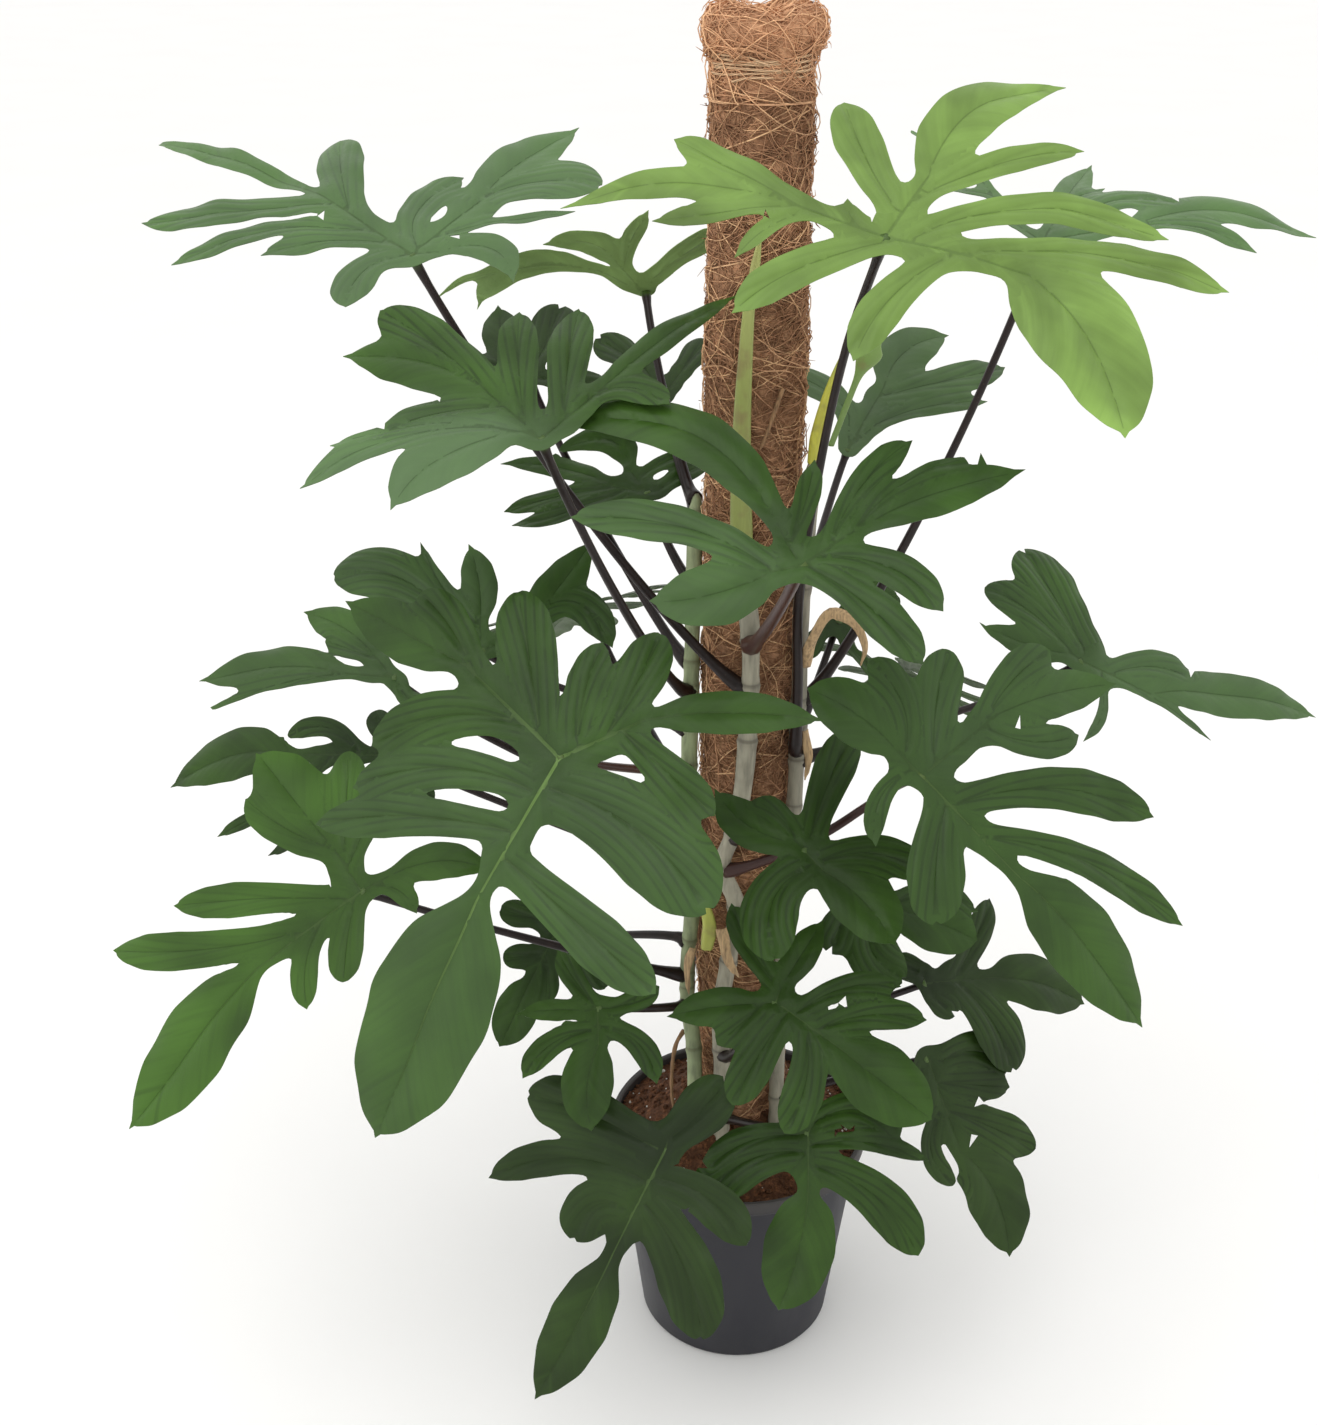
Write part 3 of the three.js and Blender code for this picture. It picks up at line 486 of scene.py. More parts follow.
def set_along(piece, rows, sides):
    """Marks how far along a bar each of its points is, from 0 to 1."""
    set_values(piece, "along", np.repeat(np.linspace(0, 1, rows), sides))


def place_piece(piece, nodes):
    """Puts a finished piece on the body and has it stand for its solids."""
    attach(piece, "root")
    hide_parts(*nodes)


def pick(piece):
    """Leaves only this piece selected and active."""
    bpy.ops.object.select_all(action="DESELECT")
    piece.select_set(True)
    bpy.context.view_layer.objects.active = piece


def apply_modifier(piece, kind, **options):
    pick(piece)
    modifier = piece.modifiers.new(kind.title(), kind)
    for name, value in options.items():
        setattr(modifier, name, value)
    bpy.ops.object.modifier_apply(modifier=modifier.name)


def shade_by_angle(piece, degrees):
    pick(piece)
    bpy.ops.object.shade_smooth_by_angle(angle=math.radians(degrees))


def spun(name, profile, steps, material):
    """A closed shell turned from a profile of (radius, height), in metres."""
    mesh = bpy.data.meshes.new(name)
    mesh.from_pydata([(r, 0, z) for r, z in profile], [(i, i + 1) for i in range(len(profile) - 1)], [])
    mesh.materials.append(material)
    piece = in_scene(name, mesh)
    pick(piece)
    bpy.ops.object.mode_set(mode="EDIT")
    bpy.ops.mesh.select_all(action="SELECT")
    bpy.ops.mesh.spin(steps=steps, angle=2 * math.pi, center=(0, 0, 0), axis=(0, 0, 1))
    bpy.ops.mesh.select_all(action="SELECT")
    bpy.ops.mesh.remove_doubles(threshold=WELD)
    bpy.ops.mesh.normals_make_consistent(inside=False)
    bpy.ops.mesh.faces_shade_smooth()
    bpy.ops.object.mode_set(mode="OBJECT")
    return piece


def smooth_line(points, per_leg=24):
    """A line that runs smoothly through the points."""
    points = [Vector(p) for p in points]
    ends = [2 * points[0] - points[1], *points, 2 * points[-1] - points[-2]]
    line = []
    for a, b, c, d in zip(ends, ends[1:], ends[2:], ends[3:]):
        before, leg, after = ((b - a).length ** 0.5, (c - b).length ** 0.5, (d - c).length ** 0.5)
        start = ((b - a) / before - (c - a) / (before + leg) + (c - b) / leg) * leg
        finish = ((c - b) / leg - (d - b) / (leg + after) + (d - c) / after) * leg
        for i in range(per_leg):
            t = i / per_leg
            cube, square = t**3, t**2
            line.append(
                b * (2 * cube - 3 * square + 1) + start * (cube - 2 * square + t)
                + c * (3 * square - 2 * cube) + finish * (cube - square)
            )
    return line + [points[-1]]


def walked_on(line):
    """How far along a line each of its points is."""
    return np.concatenate([[0], np.cumsum(np.linalg.norm(np.diff(line, axis=0), axis=1))])


def spaced(line, count, closed=False):
    """A line with its points at even distances. A closed one leaves out the last, which is its first."""
    walked = walked_on(line)
    stops = np.linspace(0, walked[-1], count, endpoint=not closed)
    return np.stack([np.interp(stops, walked, column) for column in line.T], 1)


def evenly(line, count, scale=1):
    """A line in space with its points at even distances, scaled."""
    return [Vector(p) * scale for p in spaced(np.array([tuple(p) for p in line]), count)]


def net_faces(rows, columns, closed=True):
    """The faces of a net of points in rows, where the rows of a closed one meet their own start."""
    faces = []
    for i in range(rows - 1):
        for j in range(columns if closed else columns - 1):
            a, b = i * columns + j, i * columns + (j + 1) % columns
            faces.append((a, b, b + columns, a + columns))
    return faces


def way_along(line, i):
    """The way a line runs at its point i."""
    return (line[min(i + 1, len(line) - 1)] - line[max(i - 1, 0)]).normalized()


def square_to(way, along):
    """A way turned square to the line that runs along."""
    return (way - along * along.dot(way)).normalized()


def bar_mesh(line, radius_at, sides, face=None, thin=1.0):
    """The points and faces of a bar along a line, flat across the way it faces if thin is under 1."""
    points = []
    last = len(line) - 1
    normal = None
    for i, centre in enumerate(line):
        along = way_along(line, i)
        if face is not None:
            normal = square_to(Vector(face), along)
        elif normal is None:
            normal = along.orthogonal().normalized()
        else:
            normal = square_to(normal, along)
        side = along.cross(normal)
        reach = radius_at(i / last)
        for j in range(sides):
            turn = 2 * math.pi * j / sides
            points.append(centre + normal * (reach * thin * math.cos(turn)) + side * (reach * math.sin(turn)))
    ends = [tuple(range(sides - 1, -1, -1)), tuple(last * sides + j for j in range(sides))]
    return points, net_faces(len(line), sides) + ends


# Blades. A blade is laid out flat first, in mm, as (forward, right) from its junction with the petiole.

# The distance between the points of a blade's net, and the shares of it along the edge, off the edge and apart
BLADE_STEP = 4.0
EDGE_STEP = 0.8
EDGE_ROOM = 0.45
NET_GAP = 0.6
NET_MERGE = 1e-4
# A loop of fewer points, or a triangle of less area, is left out
LEAST_LOOP = 8
LEAST_AREA = 1e-3
# How far beside a vein its two rows of points lie
VEIN_ROW = 3.4
# How far the tip of a lobe is drawn out, and how wide neighbouring lobes blend where they meet
TIP_POINT = 4
SINUS = 8
# The angle in degrees between a lobe's middle vein and the fine veins that leave it, and how strong those are
OVAL_SLANT = 34
OVAL_PLEAT = 0.16
STRAP_SLANT = 6
STRAP_PLEAT = 1.0
# A blade hangs by SAG at SAG_REACH from its junction, and arches by a share of its width from vein to edge
SAG = 18
SAG_REACH = 200
ARCH = 0.08
# The groove along each vein, the ripple near the edge and the wide swell: how deep, how wide, how far in
GROOVE = 0.9
GROOVE_WIDTH = 2.2
RIPPLE = 1.5
RIPPLE_SIZE = 38
RIPPLE_FADE = 9
RIPPLE_SEED = 300
SWELL = 3.2
SWELL_SIZE = 120
SWELL_SEED = 700
# How wide the tones of two neighbouring ribs blend into each other
RIB_BLEND = 7
NO_TONES = (0, 0, 0)
# A blade's UV map counts in steps of this many mm
UV_SCALE = 100
# A blade's tone: how far its own differs, the painted shade at its junction that gives way to painted light by
# 85% of its reach, and its clouds
OWN_TONE = 0.08
TONE_SEED = 40
JUNCTION_PAINTED_SHADE = 0.24
TIP_PAINTED_LIGHT = 0.4
CLOUD_TONE = 0.26
CLOUD_SIZE = 80
CLOUD_SEED = 900
# The shaded line along a vein: its half width at the start, and how much of that is lost at the end
END_LOBE_LINE = (1.0, 0.6)
MIDRIB_LINE = (1.35, 0.5)
RIB_LINE = (1.4, 0.4)
LOBE_LINE = (0.8, 0.4)
# Neighbouring faces at less than this angle are shaded as one surface
BLADE_ANGLE = 40
# Profiles along a lobe: how far out, and the share of its width there
STRAP = [(0, 0.72), (0.2, 0.72), (0.45, 0.88), (0.66, 1), (0.82, 0.9), (0.92, 0.6), (0.97, 0.34), (1, 0.05)]
OVAL = [(0, 0.18), (0.1, 0.42), (0.27, 0.84), (0.46, 1), (0.68, 0.88), (0.86, 0.5), (0.95, 0.2), (1, 0.02)]
OVATE = [(0, 0.3), (0.08, 0.58), (0.24, 0.94), (0.42, 1), (0.66, 0.82), (0.85, 0.46), (0.95, 0.18), (1, 0.02)]
WEB = [(0, 0.62), (0.4, 1), (0.75, 0.8), (1, 0.42)]


def polar(place):
    bearing, reach = math.radians(place[0]), place[1]
    return np.array([reach * math.cos(bearing), reach * math.sin(bearing)])


def unit(way):
    return way / np.linalg.norm(way)


def bow(start, bend, end, spacing=3.0):
    """Points along a curve that leaves its start towards bend."""
    count = max(4, int(np.linalg.norm(end - start) / spacing))
    t = np.linspace(0, 1, count + 1)[:, None]
    return (1 - t) ** 2 * start + 2 * t * (1 - t) * bend + t**2 * end


def widths(count, profile, width):
    t, share = zip(*profile)
    return np.interp(np.linspace(0, 1, count), t, share) * width / 2


def lobe_vein(start, lobe, swing, profile):
    """The line and half widths of a lobe from start to its tip, with its middle swung to the right."""
    tip = polar(lobe)
    way = unit(tip - start)
    line = bow(start, (start + tip) / 2 + 2 * swing * np.array([-way[1], way[0]]), tip)
    half = widths(len(line), profile, lobe[2])
    slant, pleat = (STRAP_SLANT, STRAP_PLEAT) if profile is STRAP else (OVAL_SLANT, OVAL_PLEAT)
    return {"line": line, "half": half, "rib": False, "slant": slant, "pleat": pleat}


def lay_out(plan):
    """The veins of a blade: its ribs, and the lobes that leave them."""
    veins = []
    oval = OVATE if plan.get("ovate") else OVAL
    for one in plan["ribs"]:
        end = polar(one["to"])
        line = bow(np.zeros(2), end / 2, end)
        half = 2 * widths(len(line), WEB, one["web"])
        veins.append({"line": line, "half": half, "rib": True, "slant": OVAL_SLANT, "pleat": OVAL_PLEAT})
        for lobe in one["lobes"]:
            veins.append(lobe_vein(end * lobe[3], lobe, lobe[4], STRAP))
        veins.append(lobe_vein(end, one["tip"], one["tip"][3], oval if one["lobes"] else STRAP))
    return veins


def outside(points, veins):
    """How far points lie outside the blade, below zero inside. Lobes that meet blend in round sinuses."""
    blade = None
    for vein in veins:
        gaps = np.linalg.norm(points[:, None] - vein["line"][None], axis=2) - vein["half"]
        lobe = gaps.min(1)
        if blade is None:
            blade = lobe
            continue
        blend = np.clip(1 - np.abs(blade - lobe) / SINUS, 0, 1)
        blade = np.minimum(blade, lobe) - SINUS * blend**2 / 4
    return blade


def nearest_on(points, line):
    """For each point: its distance from a line, and how far along the line it is."""
    legs = np.diff(line, axis=0)
    sizes = np.linalg.norm(legs, axis=1)
    gaps = points[:, None] - line[None, :-1]
    share = np.clip((gaps * legs).sum(2) / sizes**2, 0, 1)
    distance = np.linalg.norm(gaps - share[..., None] * legs, axis=2)
    best = distance.argmin(1)
    row = np.arange(len(points))
    return distance[row, best], walked_on(line)[best] + share[row, best] * sizes[best]


def edge_links(field):
    """The sides of grid squares that a blade's edge crosses, each with the sides that it leads on to."""
    links = {}
    inside = field < 0
    rows, columns = field.shape
    corners = sum(inside[i : rows - 1 + i, j : columns - 1 + j].astype(int) for i in (0, 1) for j in (0, 1))
    for i, j in np.argwhere((corners > 0) & (corners < 4)).tolist():
        ring = [(i, j), (i + 1, j), (i + 1, j + 1), (i, j + 1)]
        cuts = [(min(a, b), max(a, b)) for a, b in zip(ring, ring[1:] + ring[:1]) if inside[a] != inside[b]]
        if len(cuts) == 4 and inside[ring[0]]:
            cuts = cuts[1:] + cuts[:1]
        for a, b in zip(cuts[::2], cuts[1::2]):
            links.setdefault(a, []).append(b)
            links.setdefault(b, []).append(a)
    return links


def outline(veins):
    """The blade's edge, as closed loops of points, from its field on a grid."""
    ends = np.concatenate([vein["line"] for vein in veins])
    margin = max(vein["half"].max() for vein in veins) + 2 * BLADE_STEP
    low = ends.min(0) - margin
    counts = np.ceil((ends.max(0) + margin - low) / BLADE_STEP).astype(int) + 1
    grid = np.stack(np.meshgrid(np.arange(counts[0]), np.arange(counts[1]), indexing="ij"), -1)
    field = outside((low + grid * BLADE_STEP).reshape(-1, 2), veins).reshape(counts)

    def crossing(a, b):
        share = field[a] / (field[a] - field[b])
        return low + (np.array(a) + (np.array(b) - np.array(a)) * share) * BLADE_STEP

    loops = []
    links = edge_links(field)
    while links:
        first = key = next(iter(links))
        loop = []
        while key in links:
            loop.append(crossing(*key))
            onward = links.pop(key)
            key = next((k for k in onward if k in links), first)
        loops.append(np.array(loop))
    loops = [even_loop(loop) for loop in loops if len(loop) > LEAST_LOOP]
    for vein in veins:
        if not vein["rib"]:
            draw_out(loops, vein["line"])
    return loops


def even_loop(loop):
    """A closed loop with its points at even distances, a little closer than those of the net."""
    closed = np.concatenate([loop, loop[:1]])
    count = max(LEAST_LOOP, int(walked_on(closed)[-1] / (EDGE_STEP * BLADE_STEP)))
    return spaced(closed, count, closed=True)


def draw_out(loops, line):
    """Draws the edge out to a point at the tip of a lobe."""
    tip = line[-1] + unit(line[-1] - line[-2]) * TIP_POINT
    gaps = [np.linalg.norm(loop - tip, axis=1) for loop in loops]
    nearest = min(range(len(loops)), key=lambda i: gaps[i].min())
    if gaps[nearest].min() < TIP_POINT + 2 * BLADE_STEP:
        loops[nearest][gaps[nearest].argmin()] = tip


def thinned(groups, gap):
    """Points from the groups in turn, leaving out those closer than the gap to one that is already in."""
    kept, bins = [], {}
    for points, always in groups:
        for point in points:
            i, j = int(point[0] // gap), int(point[1] // gap)
            near = [q for di in (-1, 0, 1) for dj in (-1, 0, 1) for q in bins.get((i + di, j + dj), ())]
            if not always and any((point[0] - q[0]) ** 2 + (point[1] - q[1]) ** 2 < gap**2 for q in near):
                continue
            bins.setdefault((i, j), []).append(point)
            kept.append(point)
    return kept


def net_points(veins, edge):
    """The points of a blade's net: its edge, rows along and beside its veins, and a lattice over the rest."""
    rows = []
    for vein in veins:
        line = vein["line"]
        way = np.gradient(line, axis=0)
        way /= np.linalg.norm(way, axis=1)[:, None]
        beside = VEIN_ROW * np.stack([-way[:, 1], way[:, 0]], 1)[1::2]
        rows += [line[::2], line[1::2] + beside, line[1::2] - beside]
    low, high = edge.min(0), edge.max(0)
    lattice = []
    for i, u in enumerate(np.arange(low[0], high[0], BLADE_STEP * 0.9)):
        for v in np.arange(low[1] + (i % 2) * BLADE_STEP / 2, high[1], BLADE_STEP):
            lattice.append((u, v))
    inner = np.concatenate([*rows, np.array(lattice)])
    inner = inner[outside(inner, veins) < -EDGE_ROOM * BLADE_STEP]
    return thinned([(edge, True), (inner, False)], NET_GAP * BLADE_STEP)


def blade_net(veins):
    """The flat net of a blade: its points and its triangles, which face the side seen from above."""
    loops = outline(veins)
    ring, start = [], 0
    for loop in loops:
        count = len(loop)
        ring += [(start + k, start + (k + 1) % count) for k in range(count)]
        start += count
    flat = [Vector(p) for p in net_points(veins, np.concatenate(loops))]
    # Triangles within the outline only; those in its holes go, apart from the ones that reach a drawn-out tip
    net = mathutils.geometry.delaunay_2d_cdt(flat, ring, [], 1, NET_MERGE)
    points = np.array([tuple(p) for p in net[0]])
    triangles = np.array([f for f in net[2] if len(f) == 3])
    at_tip = (outside(points, veins)[triangles] > 0.4 * TIP_POINT).any(1)
    triangles = triangles[(outside(points[triangles].mean(1), veins) < 0) | at_tip]
    a, b, c = (points[triangles[:, k]] for k in range(3))
    turn = (b - a)[:, 0] * (c - a)[:, 1] - (b - a)[:, 1] * (c - a)[:, 0]
    triangles[turn > 0] = triangles[turn > 0][:, ::-1]
    return points, triangles[np.abs(turn) > LEAST_AREA]


def waves(points, size, seed):
    """A smooth random height between about -1 and 1 over the flat blade, with waves of the size given."""
    draw = random.Random(seed)
    height = np.zeros(len(points))
    for _ in range(5):
        turn, phase = draw.uniform(0, math.pi), draw.uniform(0, 2 * math.pi)
        pitch = 2 * math.pi / (size * draw.uniform(0.7, 1.5))
        height += np.sin(pitch * (points @ np.array([math.cos(turn), math.sin(turn)])) + phase)
    return height / 3


def leaf_place(plan):
    """Where a blade is, and its ways forward, right and up."""
    turn, down, tilt = (math.radians(plan[k]) for k in ("heading", "fall", "roll"))
    forward = Vector((math.sin(turn) * math.cos(down), -math.cos(turn) * math.cos(down), -math.sin(down)))
    level = forward.cross(UP).normalized()
    up = level.cross(forward)
    normal = up * math.cos(tilt) + level * math.sin(tilt)
    return Vector(plan["at"]), forward, forward.cross(normal), normal


def blade_heights(points, veins, distance, index):
    """The height of each point above the blade's plane, in mm."""
    inward = np.maximum(0, -outside(points, veins))
    half = distance + inward + 1e-6
    sag = -SAG * (points**2).sum(1) / SAG_REACH**2
    arch = ARCH * half * np.sin(math.pi * distance / half)
    groove = -GROOVE * np.exp(-((distance / GROOVE_WIDTH) ** 2))
    ripple = RIPPLE * waves(points, RIPPLE_SIZE, RIPPLE_SEED + index) * np.exp(-inward / RIPPLE_FADE)
    swell = SWELL * waves(points, SWELL_SIZE, SWELL_SEED + index)
    swell *= np.clip(np.linalg.norm(points, axis=1) / SWELL_SIZE, 0, 1)
    return sag + arch + groove + ripple + swell


def mark_veins(piece, plan, veins, distances, walked):
    """Marks how far each point is from its vein, how wide and pale that is, and how strong its fine veins."""
    owner = distances.argmin(0)
    lengths = np.array([walked_on(vein["line"])[-1] for vein in veins])
    stretch = walked[owner, np.arange(len(owner))] / lengths[owner]
    end_lobe = owner == len(plan["ribs"][0]["lobes"]) + 1
    kinds = [end_lobe, owner == 0, np.array([vein["rib"] for vein in veins])[owner]]
    lines = [start - lost * stretch for start, lost in (END_LOBE_LINE, MIDRIB_LINE, RIB_LINE, LOBE_LINE)]
    light = [0.7 * (1 - stretch) ** 2 + 0.1, 1 - 0.3 * stretch, 0.45 * (1 - stretch) + 0.1]
    pleats = np.array([vein["pleat"] for vein in veins])[owner]
    set_values(piece, "vein", distances.min(0))
    set_values(piece, "vein_half", (0.5 + 0.5 * plan["midrib"]) * np.select(kinds, lines[:3], lines[3]))
    set_values(piece, "vein_light", plan["midrib"] * np.select(kinds, light, 0.1))
    set_values(piece, "pleat", plan.get("pleat", 1.0) * pleats)


def mark_tones(piece, index, plan, veins, points, distances):
    """Marks how dark each point is, with painted shade by the junction and painted light towards the tips, and
    how much painted sheen it has, blended from what each rib of the plan has.
    """
    rib_of = np.cumsum([vein["rib"] for vein in veins]) - 1
    closest = np.array([distances[rib_of == k].min(0) for k in range(len(plan["ribs"]))])
    weight = np.exp((distances.min(0) - closest) / RIB_BLEND)
    weight /= weight.sum(0)
    set_values(piece, "bloom", np.array(plan.get("bloom", NO_TONES)) @ weight)
    reach = np.hypot(points[:, 0], points[:, 1])
    # The plan's tone is partly the leaf's own green and partly painted light, sheen and shade
    tint = plan["tone"] + random.Random(TONE_SEED + index).uniform(-OWN_TONE, OWN_TONE)
    tint = tint + np.array(plan.get("rib_tones", NO_TONES)) @ weight
    # Painted shade at the junction, fading into painted light towards the tips
    tint = tint + JUNCTION_PAINTED_SHADE - TIP_PAINTED_LIGHT * reach / np.percentile(reach, 85)
    set_values(piece, "tint", tint + CLOUD_TONE * waves(points, CLOUD_SIZE, CLOUD_SEED + index))


def map_veins(piece, veins, points, triangles):
    """A UV map that runs across the fine veins, and away from the nearest middle vein."""
    centres = points[triangles].mean(1)
    nearest = np.stack([nearest_on(centres, vein["line"])[0] for vein in veins]).argmin(0)
    uv = np.zeros((len(triangles), 3, 2), np.float32)
    for k, vein in enumerate(veins):
        mine = nearest == k
        if not mine.any():
            continue
        away, along = nearest_on(points[triangles[mine]].reshape(-1, 2), vein["line"])
        slant = math.radians(vein["slant"])
        across = along * math.sin(slant) - away * math.cos(slant)
        uv[mine] = np.stack([across, away], 1).reshape(-1, 3, 2) / UV_SCALE
    layer = piece.data.uv_layers.new(name="veins")
    layer.data.foreach_set("uv", uv.ravel())


def blade(index, plan, skins):
    """One blade: a thin closed leaf with its veins marked for its material."""
    veins = lay_out(plan)
    points, triangles = blade_net(veins)
    near = [nearest_on(points, vein["line"]) for vein in veins]
    distances = np.stack([distance for distance, _ in near])
    walked = np.stack([along for _, along in near])
    at, forward, right, normal = leaf_place(plan)
    spots = [
        (at + forward * float(p[0]) + right * float(p[1]) + normal * float(height)) * MM
        for p, height in zip(points, blade_heights(points, veins, distances.min(0), index))
    ]
    piece = new_piece(f"blade_{index:02d}", spots, triangles.tolist(), skins)
    mark_veins(piece, plan, veins, distances, walked)
    mark_tones(piece, index, plan, veins, points, distances)
    map_veins(piece, veins, points, triangles)
    apply_modifier(
        piece, "SOLIDIFY", thickness=settings("leaf_settings").thickness, offset=-1, use_rim=True,
        material_offset=1, material_offset_rim=0,
    )
    shade_by_angle(piece, BLADE_ANGLE)
    return piece


# Petioles, in mm. A stalk is STALK in radius at its foot and loses TAPER of it on the way up.
STALK = 4.4
TAPER = 1.2
STALK_SIDES = 10
STALK_ROWS = 49
# What it gains at its sheathed foot and under the blade: (radius, middle, reach), the last two as shares
SHEATHED_FOOT = (2.6, 0, 0.06)
NECK = (0.9, 0.975, 0.02)
# How deep it is rooted in its vine, as a share of the vine's radius, and how far below its node
ROOTED = 0.4
ROOT_DROP = 3
ARC_STEPS = 60


def hump(t, height, middle, reach):
    """A smooth hump of a height round a middle."""
    return height * math.exp(-(((t - middle) / reach) ** 2))


def vine_at(vine, height):
    """The middle of a vine at a height, in mm."""
    line = smooth_line(VINES[vine]["route"])
    return min(line, key=lambda p: abs(p.z - height))


def petiole_line(plan):
    """The line of a petiole: up and out from its vine, then over into the junction."""
    at, _, _, normal = leaf_place(plan)
    centre = vine_at(plan["vine"], plan["node"])
    radius = VINES[plan["vine"]]["radius"]
    end = at - normal * 0.6
    via = [Vector(p) for p in plan.get("via", ())]
    aim = via[0] if via else end
    out = Vector((aim.x - centre.x, aim.y - centre.y, 0)).normalized()
    climb = max(0, (aim - centre).normalized().z)
    rise = (out + UP * climb).normalized()
    skin = centre + out * (radius + 1 + 4.6 * rise.z)
    root = centre + out * radius * ROOTED - UP * ROOT_DROP
    if via:
        return smooth_line([root, skin, *via, end])
    size = (end - skin).length
    arrive = ((end - skin).normalized() + normal * 0.8).normalized()
    bend_a, bend_b = skin + rise * 0.2 * size, end - arrive * 0.3 * size
    line = [root]
    for i in range(ARC_STEPS + 1):
        t = i / ARC_STEPS
        line.append(
            skin * (1 - t) ** 3 + bend_a * 3 * t * (1 - t) ** 2 + bend_b * 3 * t**2 * (1 - t) + end * t**3
        )
    return line


def petiole(index, plan, skin):
    """One petiole: sheathed at its foot, slim, and a little swollen under the blade."""
    thick = plan.get("stalk", 1.0)

    def radius_at(t):
        return thick * (STALK - TAPER * min(1, 1.6 * t) + hump(t, *SHEATHED_FOOT) + hump(t, *NECK)) * MM

    points, faces = bar_mesh(evenly(petiole_line(plan), STALK_ROWS, MM), radius_at, STALK_SIDES)
    piece = new_piece(f"petiole_{index:02d}", points, faces, [skin])
    set_along(piece, STALK_ROWS, STALK_SIDES)
    set_values(piece, "wine", np.full(len(points), plan.get("wine", 0.0)))
    return piece


# Materials

# A wave texture's period at scale 1, in its own units
WAVE_PERIOD = 2 * math.pi / 20
# The scale at which the plies of the twine are about 1 mm wide
PLY_SCALE = 0.314
# How dark the painted shade in the grooves of the fine veins is, from 0 to 1
PLEAT = 0.6
YOUNG_PLEAT = 0.14
MIDRIB = "5f7a3f"
UNDERSIDE = "5d7050"
# The painted sheen: pale grey-green painted on a blade where it lies at a low angle to the light
PAINTED_SHEEN_COLOUR = "77936c"
# Petioles: where they turn red, their pale freckles, and the green under the blade
WINE = "472720"
FRECKLE = "4a3a2e"
STALK_GREEN = "4c662f"
# Stems: the scars at the joints, and the younger stem on the left
SCAR = "4a4438"
YOUNG_BARK = "8f9a74"
YOUNG_SCAR = "59573c"
SHOOT_BLOT = "7a6541"
ROOT_BARK = "8a6a4a"
POT_DUST = "8b8478"
STAKE_WOOD = "b08a5c"


def add_node(tree, kind, inputs=None, **options):
    """A node with its settings, and its inputs set or linked."""
    made = tree.nodes.new(kind)
    for name, value in options.items():
        setattr(made, name, value)
    for key, value in (inputs or {}).items():
        if isinstance(value, bpy.types.NodeSocket):
            tree.links.new(value, made.inputs[key])
        else:
            made.inputs[key].default_value = value
    return made


def new_material(name, roughness, specular=0.5):
    """An empty material, its tree and its shader."""
    material = bpy.data.materials.new(name)
    material.use_nodes = True
    tree = material.node_tree
    shader = tree.nodes["Principled BSDF"]
    shader.inputs["Roughness"].default_value = roughness
    shader.inputs["Specular IOR Level"].default_value = specular
    return material, tree, shader


def rgba(shade):
    return (*shade, 1.0)


def times(shade, factor):
    return [min(1.0, c * factor) for c in shade]


def object_place(tree, stretch=(1, 1, 1)):
    """Places on the piece in metres, stretched along its axes."""
    place = add_node(tree, "ShaderNodeTexCoord").outputs["Object"]
    return add_node(tree, "ShaderNodeMapping", {"Vector": place, "Scale": stretch}).outputs["Vector"]


def height_on(tree, place):
    return add_node(tree, "ShaderNodeSeparateXYZ", {"Vector": place}).outputs["Z"]


def grain(tree, place, size, detail=3.0, roughness=0.55):
    """Noise whose lumps are about the size given, in mm."""
    inputs = {"Vector": place, "Scale": 1000 / size, "Detail": detail, "Roughness": roughness}
    return add_node(tree, "ShaderNodeTexNoise", inputs).outputs["Fac"]


def cells(tree, place, size):
    """The distance from the middle of the nearest of many cells of the size given, in mm."""
    return add_node(tree, "ShaderNodeTexVoronoi", {"Vector": place, "Scale": 1000 / size}).outputs["Distance"]


def bands(tree, place, way, inputs):
    """Soft bands across a way."""
    inputs = {"Vector": place, "Detail": 2.0, **inputs}
    return add_node(tree, "ShaderNodeTexWave", inputs, wave_type="BANDS", bands_direction=way).outputs["Fac"]


def ramp(tree, value, stops):
    """A value turned into a colour by stops of (value, colour)."""
    node = add_node(tree, "ShaderNodeValToRGB", {"Fac": value})
    elements = node.color_ramp.elements
    while len(elements) < len(stops):
        elements.new(0.5)
    for element, (position, shade) in zip(elements, stops):
        element.position = position
        element.color = rgba(shade)
    return node.outputs["Color"]


def tones(tree, value, shade, *stops):
    """A value turned into darker and lighter tones of one shade, by stops of (value, factor)."""
    return ramp(tree, value, [(position, times(shade, factor)) for position, factor in stops])


def blend_colours(tree, share, a, b):
    """Colour a changed towards colour b by the share."""
    node = add_node(tree, "ShaderNodeMix", data_type="RGBA")
    for key, value in ((0, share), (6, a), (7, b)):
        if isinstance(value, bpy.types.NodeSocket):
            tree.links.new(value, node.inputs[key])
        else:
            node.inputs[key].default_value = value if key == 0 else rgba(value)
    return node.outputs[2]


def span(tree, value, low, high, to_low=0.0, to_high=1.0):
    """A value moved smoothly from one span to another."""
    inputs = {"Value": value, "From Min": low, "From Max": high, "To Min": to_low, "To Max": to_high}
    return add_node(tree, "ShaderNodeMapRange", inputs, interpolation_type="SMOOTHSTEP").outputs["Result"]


def tinged(tree, body, shade, value, low, high, most=1.0):
    """The body turned towards a shade, not at all where a value is low and by the most where it is high."""
    return blend_colours(tree, span(tree, value, low, high, 0, most), body, shade)


def sums(tree, operation, a, b=0.0, c=0.0):
    return add_node(tree, "ShaderNodeMath", {0: a, 1: b, 2: c}, operation=operation).outputs[0]


def named_value(tree, name):
    return add_node(tree, "ShaderNodeAttribute", attribute_name=name).outputs["Fac"]


def relief(tree, shader, height, depth, strength=1.0):
    """Bump of a depth in mm."""
    inputs = {"Height": height, "Distance": depth * MM, "Strength": strength}
    tree.links.new(add_node(tree, "ShaderNodeBump", inputs).outputs["Normal"], shader.inputs["Normal"])


